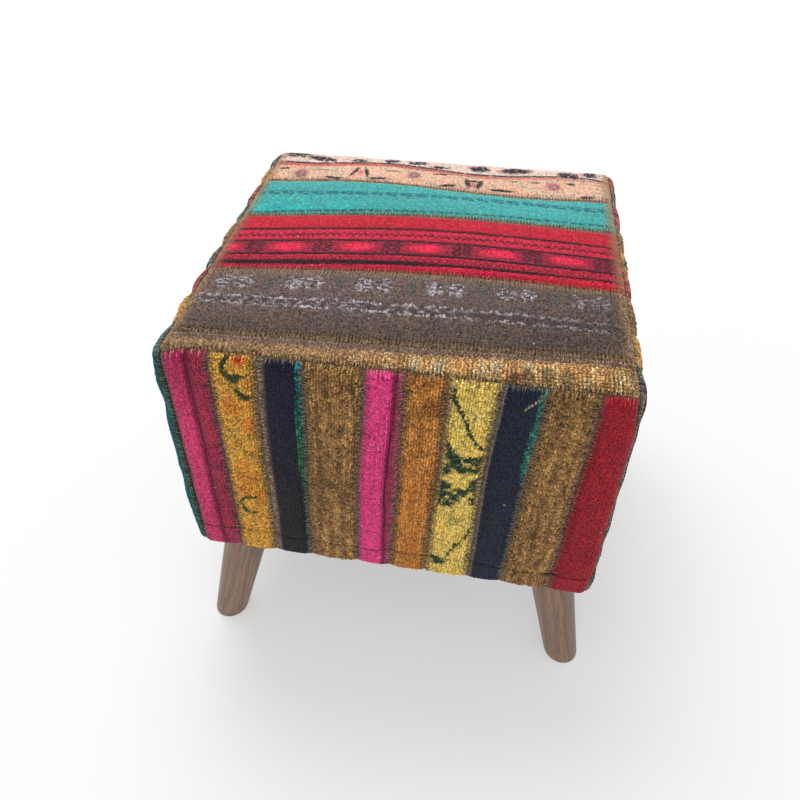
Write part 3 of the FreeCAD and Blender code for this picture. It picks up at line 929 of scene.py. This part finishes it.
def gold_dye(rug):
    """Gold with orange patches, green tendrils and a small flower."""
    ground = uneven(rug, dye(243, 193, 85), dye(212, 142, 48))
    patches = ovals(rug.spot, (16, 56, 9, 12), (30, 78, 8, 10), (20, 142, 13, 10),
                    (16, 160, 9, 8), (28, 168, 7, 12))
    ground = (patches * 0.6).pick(ground, dye(225, 133, 46))
    faint = vine(rug.spot, 1.3, (5, 75), (15, 92), (19, 104), (31, 117))
    ground = (faint * 0.6).pick(ground, dye(134, 112, 44))
    leaves = many([vine(rug.spot, 2.6, (17, 5), (13, 13), (12.5, 20), (18, 24), (29, 23)),
                   ovals(rug.spot, (21, 26.5, 6, 3, 15), (14, 22, 4, 4)),
                   vine(rug.spot, 2.3, (23.5, 38), (27, 43), (35, 45.5)),
                   ovals(rug.spot, (29, 45, 5.5, 3.2, 35)),
                   vine(rug.spot, 1.9, (23, 168), (13, 171), (7.5, 179), (12, 189), (20, 191))])
    ground = leaves.pick(ground, dye(64, 76, 36))
    flower = oval(rug.spot, 26.5, 7.5, 5.2, 5)
    petals = many([flower.fade(0.8, 1.1), ovals(rug.spot, (33, 30, 3.5, 3.5)) * 0.6])
    ground = petals.pick(ground, dye(236, 116, 50))
    return flower.fade(0.3, 0.5).pick(ground, dye(170, 66, 32))


def yellow_dye(rug):
    """Pale yellow with a dark green vine and its leaves, worn through in places."""
    ground = uneven(rug, dye(255, 231, 131), dye(235, 191, 82))
    leaves = many([vine(rug.spot, 1.9, (4.5, 12), (8, 25), (16, 40), (22.5, 57), (30.5, 70), (37, 75)),
                   vine(rug.spot, 3.4, (3, 70), (9, 80), (19, 86), (37, 83)),
                   vine(rug.spot, 4, (3, 106), (12, 94), (20, 98), (29, 92), (37, 85)),
                   vine(rug.spot, 4.2, (3, 126), (17, 134), (28, 122), (38, 112)),
                   ovals(rug.spot, (7, 22, 3, 5), (13, 91, 7, 6), (5, 100, 5.5, 8),
                         (7, 119, 7, 6), (5, 130, 6, 9), (11, 140, 9, 5.5, -15),
                         (34, 116, 6.5, 10), (35, 134, 5.5, 10, 15), (20, 126, 7, 6),
                         (8, 82, 7, 6), (29, 96, 7, 6, 20), (14, 131, 8, 6)),
                   vine(rug.spot, 1.6, (36, 178), (32, 190), (24, 205), (18, 222)),
                   ovals(rug.spot, (27, 200, 4, 4), (7, 226, 7, 4), (12, 232, 7, 4, -20))])
    holes = rug.spot.noise(0.2)
    leaves = leaves * holes.fade(0.58, 0.66)
    ground = leaves.pick(ground, dye(34, 62, 42))
    ground = (leaves * rug.fleck.fade(0.08, 0.1) * 0.7).pick(ground, dye(160, 196, 150))
    bloom = oval(rug.spot, 20, 165, 5.5, 6.5)
    return (bar(bloom, 0.3, 1, 0.25) * 0.6).pick(ground, dye(146, 156, 84))


def teal_dye(rug):
    return uneven(rug, dye(52, 142, 140), dye(26, 92, 104))


def ivory_dye(rug):
    """Ivory and salmon with a dark waving crest, rosettes, dashes and twigs."""
    ground = uneven(rug, dye(252, 224, 196), dye(240, 180, 150))
    turn = (rug.y - 30) * 0.0296
    wave = rug.x - 30 - turn.maths("COSINE", turn) * 7 - (rug.y - 195) * 0.012
    salmon = bar(wave, 2, 9, 1.5) * (rug.y.fade(150, 360) * 0.5 + 0.5)
    ground = salmon.pick(ground, dye(214, 108, 96))
    ground = (wave.fade(-6, -3) * 0.6).pick(ground, dye(244, 222, 212))
    dots = bar(wave, -6, -2.2, 0.8) * bar(every(rug.y, 0, 6.5), -2, 2, 0.7)
    ground = dots.pick(ground, dye(252, 246, 240))
    rough = shaken(rug.spot, rug.spot.noise(0.16, output=1), 16)
    crest = many([abs(wave).fade(1.4, 2.8),
                  ovals(rough, (13, 26, 8, 15, 10), (21, 56, 7, 18, -12), (14, 137, 6, 11), (15, 168, 6, 11),
                        (19, 104, 4, 13), (24, 194, 3.5, 13), (20, 239, 9, 12), (18, 281, 8, 20, 12),
                        (20, 341, 8, 13), (14, 364, 8, 9))])
    gaps = rug.spot.noise(0.24)
    ground = (crest * gaps.fade(0.57, 0.67)).pick(ground, dye(46, 34, 58))
    for x, y in ((62, 41), (51, 168), (53, 323)):
        rosette = oval(rug.spot, x, y, 14, 11)
        ground = (rosette.fade(0.5, 1.1) * 0.75).pick(ground, dye(206, 140, 134))
        ground = (bar(rosette, 0.2, 0.55, 0.15) * 0.8).pick(ground, dye(150, 98, 118))
    dashes = ovals(rug.spot, (52, 19, 3, 6, 10), (67, 79, 2.4, 11, -5), (64, 129, 2.4, 12, 5),
                   (44, 197, 2.3, 9), (72, 208, 3, 10, 8), (74, 267, 2.7, 15), (43, 342, 3, 5),
                   (69, 359, 2.4, 8, 12), (79, 13, 3, 4), (51, 100, 13, 2.6, -14), (51, 114, 13, 2.6, 14),
                   (63, 229, 12, 3.2, 12), (65, 242, 12, 3.2, -12), (57, 235, 2.5, 9))
    ground = (dashes * rug.fleck.fade(0.8, 1.1)).pick(ground, dye(50, 36, 50))
    hearts = ovals(rug.spot, (52, 107, 7, 3.4), (66, 235, 6, 3))
    ground = (hearts * 0.8).pick(ground, dye(226, 112, 128))
    twigs = ovals(rug.spot, (51, 62, 1.6, 10), (43, 143, 2.2, 9), (48, 279, 1.8, 7), (47, 303, 2.2, 7))
    return (twigs * 0.8).pick(ground, dye(112, 96, 60))


def teal_border_dye(rug):
    """Green blue with a row of small leaves and a dashed line."""
    ground = uneven(rug, dye(96, 203, 193), dye(56, 169, 172))
    bright = rug.y.fade(60, 150) * rug.x.fade(66, 36) * 0.8
    ground = bright.pick(ground, dye(58, 206, 208))
    motif = repeat(rug, 8, 16)
    leaf = ovals(motif, (29, -3.5, 2.8, 4.5, -25), (31, 3.5, 2.6, 3.6, 20), (25.5, 0, 1.5, 7))
    ground = (leaf * 0.8).pick(ground, dye(24, 104, 132))
    ground = (bar(rug.x, 24.2, 26.4, 1) * 0.45).pick(ground, dye(36, 122, 140))
    slanted = rug.x + (rug.y - 195) * 0.0325
    dash = bar(every(rug.y, 0, 9), -3.6, 3.6, 0.8) * bar(slanted, 62.8, 65.6, 0.9)
    return (dash * 0.8).pick(ground, dye(22, 76, 82))


def red_dye(rug):
    """Red with dark lines, a zigzag, rings and a band of dark rosettes."""
    rug = rug._replace(x=rug.x + 5)
    ground = uneven(rug, dye(232, 26, 62), dye(196, 14, 44))
    ribs = abs(every(rug.x, 2, 4.6)).fade(0.5, 1.5) * rug.mottle.fade(0.6, 0.4)
    ground = (ribs * 0.4).pick(ground, dye(132, 8, 36))
    ground = (bar(rug.x, 39, 105, 1) * 0.5).pick(ground, dye(238, 44, 86))
    ground = (bar(rug.x, 61, 85, 1) * 0.8).pick(ground, dye(158, 30, 64))
    between = oval(repeat(rug, 70, 66), 72.5, 0, 7.5, 18)
    ground = between.fade(0.6, 1.15).pick(ground, dye(250, 44, 86))
    step = repeat(rug, 37, 66)
    corners = [(72.5 + a, b) for a in (-4.5, 4.5) for b in (-4.8, 4.8)]
    lobes = ovals(step, *[(x, y, 4.8, 4.6) for x, y in corners])
    ground = (lobes * 0.9).pick(ground, dye(66, 14, 34))
    eyes = ovals(step, *[(x, y, 1.8, 1.8) for x, y in corners])
    ground = (eyes * 0.6).pick(ground, dye(190, 40, 76))
    zigzag = abs(every(rug.y, 0, 6.6)) * 1.5
    rings = bar(oval(repeat(rug, 0, 7.6), 92.5, 0, 3.6, 3.4), 0.6, 1, 0.2)
    teeth = many([abs(rug.x - 47.5 - zigzag).fade(1.1, 2.3) * 0.9, rings * 0.8])
    lines = many([bar(rug.x, 36, 40.2, 0.7), bar(rug.x, 59, 62.8, 0.7), bar(rug.x, 82.8, 86.8, 0.7),
                  bar(rug.x, 94.2, 101, 0.9) * rug.y.fade(195, 235), bar(rug.x, 96.2, 100, 0.7)])
    return many([teeth, lines]).pick(ground, dye(34, 4, 18))


def grey_dye(rug):
    """Grey brown with pale worn flowers and a hatched band."""
    ground = uneven(rug, dye(141, 120, 112), dye(103, 83, 77))
    ground = (rug.x.fade(80, 58) * 0.6).pick(ground, dye(98, 80, 70))
    ground = (rug.y.fade(360, 180) * 0.5).pick(ground, dye(92, 74, 64))
    dashed = drawn_out(rug.x, rug.x * 0.42, rug.y * 0.17, 0)
    worn = dashed.fade(0.56, 0.46) * (rug.y.fade(230, 380) * 0.5 + 0.5)
    ground = (rug.fleck.fade(0.07, 0.13) * 0.5).pick(ground, dye(196, 178, 166))
    step = repeat(rug, 37, 63)
    petals = ovals(step, (18.5, -8.5, 5.6, 8, -20), (18.5, 8.5, 5.6, 8, 20),
                   (29, -8.5, 5.6, 8, 20), (29, 8.5, 5.6, 8, -20), (24, -15, 3, 3.6), (24, 15, 3, 3.6))
    ground = (petals * 0.55).pick(ground, dye(66, 54, 50))
    ground = (petals * worn).pick(ground, dye(206, 198, 204))
    buds = ovals(repeat(rug, 69, 63), (23, 0, 5, 5), (28, 3, 3, 3))
    ground = (buds * 0.5).pick(ground, dye(88, 104, 96))
    bent = rug.x - (rug.y - 195) * 0.02
    lines = many([bar(bent, 48, 52, 1), bar(bent, 59, 63, 1)])
    hatch = bar(bent, 52, 59, 1) * bar(every(rug.y, 0, 13), -3.6, 3.6, 1)
    hatch = hatch * rug.y.fade(220, 260) * 0.6
    ground = (bar(bent, 47, 64, 1) * 0.5).pick(ground, dye(62, 52, 50))
    ground = (many([lines, hatch]) * worn).pick(ground, dye(204, 196, 202))
    return (bar(rug.x, 91.5, 97.5, 1) * 0.85).pick(ground, dye(44, 32, 28))


def gold_edge_dye(rug):
    """Tan, with a pale combed fringe over its front half."""
    ground = uneven(rug, dye(246, 199, 128), dye(194, 147, 85))
    ground = (rug.y.fade(180, 320) * 0.9).pick(ground, dye(164, 130, 97))
    ground = rug.x.fade(8.5, 12).pick(ground, dye(139, 110, 94))
    hanks = drawn_out(rug.x, rug.x * 0.03, rug.y * 0.085, 5, 3)
    fringe = hanks.node("ValToRGB", {0: hanks}, stops=((0.3, dye(170, 156, 106)), (0.7, dye(255, 240, 200)),
                                                      (0.42, dye(250, 184, 112)), (0.56, dye(246, 210, 146))))
    figure = ovals(rug.spot, (26, 300, 8, 5), (29, 292, 5, 6))
    fringe = (figure * 0.75).pick(fringe, dye(112, 50, 60))
    green = ovals(rug.spot, (25, 316, 9, 5), (27, 330, 8, 6), (30, 205, 6, 9), (30, 96, 5, 7))
    fringe = (green * 0.65).pick(fringe, dye(112, 116, 70))
    comb = abs(every(rug.y, 0, 3.4)).fade(0.8, 1.6)
    fringe = comb.pick(dye(140, 106, 66), fringe)
    fringed = (rug.x + (rug.fleck - 0.5) * 6).fade(18, 11) * (rug.y.fade(230, 120) * 0.7 + 0.3)
    return fringed.pick(ground, fringe)


top_turn = (8.0, 16.0)
rugs = {"magenta": (magenta_dye, dye(124, 76, 78), 3.8),
        "pink": (pink_dye, dye(150, 92, 100), 3.2),
        "crimson": (crimson_dye, dye(132, 76, 66), 3.0),
        "navy": (navy_dye, dye(108, 92, 82), 1.9, 0.5),
        "midnight": (midnight_dye, dye(110, 96, 84), 1.9, 0.45),
        "olive": (olive_dye, dye(136, 106, 72), 4.8, 1.4),
        "rust": (rust_dye, dye(140, 102, 64), 4.4, 1.0),
        "yellow": (yellow_dye, dye(156, 130, 84), 3.8, 0.85),
        "gold": (gold_dye, dye(150, 120, 76), 4.2, 1.0),
        "teal": (teal_dye, dye(96, 74, 58), 3.0),
        "ivory": (ivory_dye, dye(168, 122, 94), 3.0, 0.6, top_turn),
        "teal_border": (teal_border_dye, dye(150, 126, 92), 4.0, 0.45, top_turn),
        "red": (red_dye, dye(150, 104, 78), 2.6, 0.6, top_turn),
        "grey": (grey_dye, dye(150, 120, 88), 6.0, 1.3, top_turn),
        "gold_edge": (gold_edge_dye, dye(150, 118, 80), 1.8, 0.8, top_turn)}
finishes = {name: rug_finish(name, *facts) for name, facts in rugs.items()}
nodes = {}
for strip in cover:
    nodes.setdefault(strip.node, []).append(strip)
for node, strips in nodes.items():
    rug_piece(node, strips, finishes[strips[0].rug])

# Seam threads: each strip's raw edge is overcast with brown and grey thread before the strips are joined, so
# short stitches lie across every edge and go down into the seam. Longer ones hold the panels to each other.
stitch_pitch = 3.3
thread_radius = 0.55
seam_reach = 5.5
top_reach = 8.0
side_reach = 10.0
cream_share = 0.45
cream = dye(214, 188, 148)
hues = {"magenta": dye(206, 76, 132), "gold": dye(216, 178, 96), "navy": dye(160, 142, 128),
        "olive": dye(174, 144, 94), "pink": dye(232, 96, 164), "rust": dye(200, 146, 78),
        "yellow": dye(228, 204, 126), "midnight": dye(120, 128, 124), "crimson": dye(190, 64, 78),
        "teal": dye(78, 150, 148), "ivory": dye(226, 186, 152), "teal_border": dye(120, 178, 160),
        "red": dye(206, 82, 84), "grey": dye(158, 138, 116), "gold_edge": cream}


def stitches(strip, edge_name):
    """Paths of the stitches over one edge of a strip, four points each, the ways outward and their hues."""
    panel = strip.panel
    pile = piles[strip.rug]
    length = run_of(panel)
    sideways = edge_name in ("left", "right")
    edge_length = length if sideways else width_of(strip)
    count = round(edge_length / stitch_pitch)
    place = (np.arange(count) + rng.uniform(0.2, 0.8, count)) / count
    longest = seam_reach if sideways else (side_reach if hemmed(panel) else top_reach)
    reach = longest * rng.uniform(0.55, 1.0, count)
    slant = rng.normal(0, 1.0, count)
    steps = np.array([1.0, 0.6, 0.25, 0.0])
    away = reach[:, None] * steps
    beside = place[:, None] + slant[:, None] * steps / edge_length
    if sideways:
        t = np.clip(beside, 0, 1)
        share = away / (strip.right(t) - strip.left(t))
        s = share if edge_name == "left" else 1 - share
    else:
        s = np.clip(beside, 0, 1)
        t = away / length if edge_name == "start" else 1 - away / length
    p, q, seam, end, dent = along_strip(strip, s, t)
    standing = np.array([0.2, 0.95, 0.75, -0.6]) * pile.height * 0.8
    points, normal = surface(panel, p, q, ground_lift(strip, pile, s, t, dent) + standing)
    shown = q.min(axis=1) > -panel.half_along - hem_turn if hemmed(panel) else np.ones(count, bool)
    hue = np.tile(hues[strip.rug][:3], (count, 1))
    if not sideways:
        hue[rng.uniform(size=count) < cream_share] = cream[:3]
    return points[shown], normal[shown], hue[shown]


def thread_mesh(name, points, normal, radius, hue):
    """Three-sided threads along paths of points, each with its own lot and its own cell of the bake map."""
    count, steps = points.shape[:2]
    heading = np.gradient(points, axis=1)
    heading /= np.linalg.norm(heading, axis=2, keepdims=True)
    aside = np.cross(heading, normal)
    aside /= np.linalg.norm(aside, axis=2, keepdims=True)
    above = np.cross(aside, heading)
    angle = np.arange(3) * 2 * np.pi / 3 + np.pi / 2
    ring = np.cos(angle)[:, None] * aside[:, :, None] + np.sin(angle)[:, None] * above[:, :, None]
    vertices = points[:, :, None] + radius * ring
    first = np.arange(count)[:, None, None] * steps * 3
    quads = first + grid_quads(steps, 3, closed=True)
    caps = first[:, :, 0] + np.array([[[2, 1, 0]], [[0, 1, 2]]]) + np.array([[[0]], [[3 * (steps - 1)]]])
    cells = math.ceil(math.sqrt(count))
    number = np.arange(count)
    corner = np.stack([number % cells, number // cells], axis=-1)[:, None, None]
    across, along = np.meshgrid(np.linspace(0.1, 0.9, 3), np.linspace(0.1, 0.9, steps))
    uv = (corner + np.stack([across, along], axis=-1)) / cells
    lot = np.repeat(rng.uniform(size=(count, 1, 3)), steps * 3, axis=1)
    return build(name, vertices.reshape(-1, 3), quads.reshape(-1, 4), caps.reshape(-1, 3), uv.reshape(-1, 2),
                 lot=lot, hue=np.repeat(hue[:, None], steps * 3, axis=1))


thread_finish, start = new_finish("overcasting_thread")
lot, tint, _ = stored(start, "lot").parts()
brown = tint.node("ValToRGB", {0: lot}, stops=((0.0, dye(78, 60, 48)), (1.0, dye(176, 152, 124)),
                                               (0.45, dye(112, 90, 70)), (0.75, dye(150, 124, 96))))
colour = tint.fade(0.62, 0.3).pick(brown, stored(start, "hue"))
twist = place_in(start).noise(2600.0)
surface_of(start, Base_Color=colour, Roughness=twist * 0.3 + 0.6, Sheen_Weight=0.1)
for side, panel in panels.items():
    paths = []
    own = [strip for strip in cover if strip.panel is panel]
    for strip in own:
        for edge_name in ("left", "right", "start") + (("end",) if side == "top" else ()):
            paths.append(stitches(strip, edge_name))
    points, normal, hue = [np.concatenate(part) for part in zip(*paths)]
    threads = thread_mesh("seam_threads_" + side, points, normal, thread_radius, hue)
    dress(threads, thread_finish, "rug_" + own[0].node.split("_")[-1])

# Dust cover: one sheet of thin black non-woven cloth, its edges turned in, stapled over the hems under the
# base and pressed to it by the legs.
dust_half = 181.0
dust_level = 119.2
dust_turn_in = 10.0
dust_cells = 120
dust_sag = 0.9
sag_reach = 60.0
ripple = 0.12
pucker_depth = 0.18
pucker_reach = 8.0
fold_depth = 0.25
leg_pressed = 30.0
staple_spacing = 30.0
line = np.linspace(-dust_half, dust_half, dust_cells + 1)
across, along = np.meshgrid(line, line)
rim = dust_half - np.maximum(np.abs(across), np.abs(along))
sag = dust_sag * np.clip(rim / sag_reach, 0, 1) + ripple * np.sin(across / 14.0) * np.sin(along / 17.0)
beside = np.where(np.abs(across) > np.abs(along), along, across)
pucker = pucker_depth * np.sin(beside * 2 * np.pi / staple_spacing) * np.exp(-rim / pucker_reach)
fold = np.where(rim < dust_turn_in, -fold_depth, 0.0)
leg_reach = np.hypot(np.abs(across) - leg_top_place, np.abs(along) - leg_top_place)
pressed = np.clip(leg_reach / leg_pressed - 1.0, 0, 1)
level = dust_level - (sag + pucker) * pressed + fold
dust_quads = grid_quads(dust_cells + 1, dust_cells + 1)[:, ::-1]
dust_cover = build("dust_cover_cloth", np.stack([across, along, level], axis=-1).reshape(-1, 3), dust_quads,
                   uv=np.stack([across, along], axis=-1).reshape(-1, 2) / (2 * dust_half) + 0.5)
dust_cloth, start = new_finish("black_non_woven")
place = place_in(start)
fibres = place.noise(700.0, 4.0, Distortion=1.5)
x, y, _ = place.stretched((1000.0, 1000.0, 0.0)).parts()
bonds = many([abs(every(x, 0.0, 1.8)), abs(every(y, 0.0, 1.8))]).fade(0.35, 0.6)
colour = fibres.fade(0.35, 0.7).pick(dye(58, 56, 56), dye(30, 29, 30))
colour = (bonds * 0.6).pick(colour, dye(18, 18, 19))
lift = (fibres - bonds * 0.6).bump(0.5, 0.0003)
surface_of(start, Base_Color=colour, Roughness=fibres * 0.2 + 0.65, Normal=lift)
dress(dust_cover, dust_cloth, "dust_cloth", "dust_cover")

# Staples: bright wire staples through the dust cover's turned-in edge and the hems into the base board.
# Each crown lies along the edge, with its ends bent up into the cloth.
staple_crown = 10.0
staple_wire = 0.45
staple_inset = 5.0
staple_level = 118.6
bent = np.array([-0.5, -0.49, -0.44, 0.44, 0.49, 0.5]) * staple_crown
sunk = np.array([1.6, 0.5, 0.0, 0.0, 0.5, 1.6])
paths, ups = [], []
for across, inward in ((axis(1, 0, 0), axis(0, 1, 0)), (axis(0, 1, 0), axis(-1, 0, 0)),
                       (axis(-1, 0, 0), axis(0, -1, 0)), (axis(0, -1, 0), axis(1, 0, 0))):
    for place in np.arange(-5, 6) * staple_spacing:
        middle = across * (place + rng.uniform(-3, 3)) - inward * (dust_half - staple_inset)
        middle = middle + axis(0, 0, staple_level)
        slant = rng.uniform(-0.12, 0.12)
        paths.append(middle + bent[:, None] * (across + slant * inward) + sunk[:, None] * axis(0, 0, 1))
        ups.append(np.tile(axis(0, 0, -1) + 0.01 * across, (len(bent), 1)))
staples = thread_mesh("dust_cover_staples", np.array(paths), np.array(ups), staple_wire,
                      np.ones((len(paths), 3)))
dress(staples, zinc, "zinc_steel")

# Stage: a pale floor that keeps the shadow and fades to white, one large soft light above and behind with a
# weaker one in front, and the photograph's viewpoint.
def seen_white(start):
    """Mask of the rays that meet the floor or the room as a plain white backdrop."""
    path = start.node("LightPath", {}).socket.node
    rays = ("Is Camera Ray", "Is Glossy Ray", "Is Transmission Ray")
    return many([Strand(start.tree, path.outputs[ray]) for ray in rays])


floor = bpy.data.objects.new("floor", bpy.data.meshes.new("floor"))
floor_half = 9
floor_corners = [(side_x * floor_half, side_y * floor_half, 0) for side_x, side_y in corners.values()]
floor.data.from_pydata(floor_corners, [], [(0, 1, 2, 3)])
bpy.context.scene.collection.objects.link(floor)
floor_finish, start = new_finish("pale_floor")
x, y, _ = place_in(start).parts()
squared = x * x + y * y
far = 1 - squared.maths("POWER", squared, 0.5).fade(0.32, 0.8) * 0.6
plain = start.node("BsdfDiffuse", {0: (0.93, 0.93, 0.93, 1.0)})
white = start.node("Emission", {0: (1.0, 1.0, 1.0, 1.0), 1: 1.0})
start.node("OutputMaterial", {0: start.node("MixShader", {0: far * seen_white(start), 1: plain, 2: white})})
floor.data.materials.append(floor_finish)

world = bpy.data.worlds.new("white_room")
bpy.context.scene.world = world
world.use_nodes = True
world.node_tree.nodes.clear()
start = Strand(world.node_tree)
room = start.node("Background", {0: (1.0, 1.0, 1.0, 1.0), 1: 0.55})
backdrop = start.node("Background", {0: (1.0, 1.0, 1.0, 1.0), 1: 1.0})
start.node("OutputWorld", {0: start.node("MixShader", {0: seen_white(start), 1: room, 2: backdrop})})


def soft_light(name, place, target, size, power):
    """A round lamp at a place, facing its target."""
    lamp = bpy.data.lights.new(name, "AREA")
    lamp.shape = "DISK"
    lamp.size = size
    lamp.energy = power
    light = bpy.data.objects.new(name, lamp)
    back = np.array(place, float) - np.array(target, float)
    light.location = place
    light.rotation_euler = (math.atan2(math.hypot(back[0], back[1]), back[2]), 0.0,
                            math.atan2(back[0], -back[1]))
    bpy.context.scene.collection.objects.link(light)


soft_light("overhead_softbox", (-0.5, 0.9, 2.2), (0.0, 0.0, 0.3), 1.6, 34.0)
soft_light("front_fill", (0.4, -2.2, 1.2), (0.0, 0.0, 0.25), 1.8, 14.0)

bpy.context.scene.view_settings.view_transform = "Standard"
turn, tilt, roll = math.radians(8.002), math.radians(39.853), math.radians(0.564)
back = axis(math.sin(turn) * math.cos(tilt), -math.cos(turn) * math.cos(tilt), math.sin(tilt))
right = axis(math.cos(turn), math.sin(turn), 0.0)
upward = np.cross(back, right)
view = np.eye(4)
view[:3, 0] = math.cos(roll) * right + math.sin(roll) * upward
view[:3, 1] = math.cos(roll) * upward - math.sin(roll) * right
view[:3, 2] = back
view[:3, 3] = (0.068789, -0.633068, 0.752329)
camera = bpy.data.objects.new("photograph", bpy.data.cameras.new("photograph"))
camera.data.sensor_width = 36.0
camera.data.lens = 33.584
camera.data.shift_y = -0.03966
camera.matrix_world = [list(column) for column in view.T]
bpy.context.scene.collection.objects.link(camera)
bpy.context.scene.camera = camera
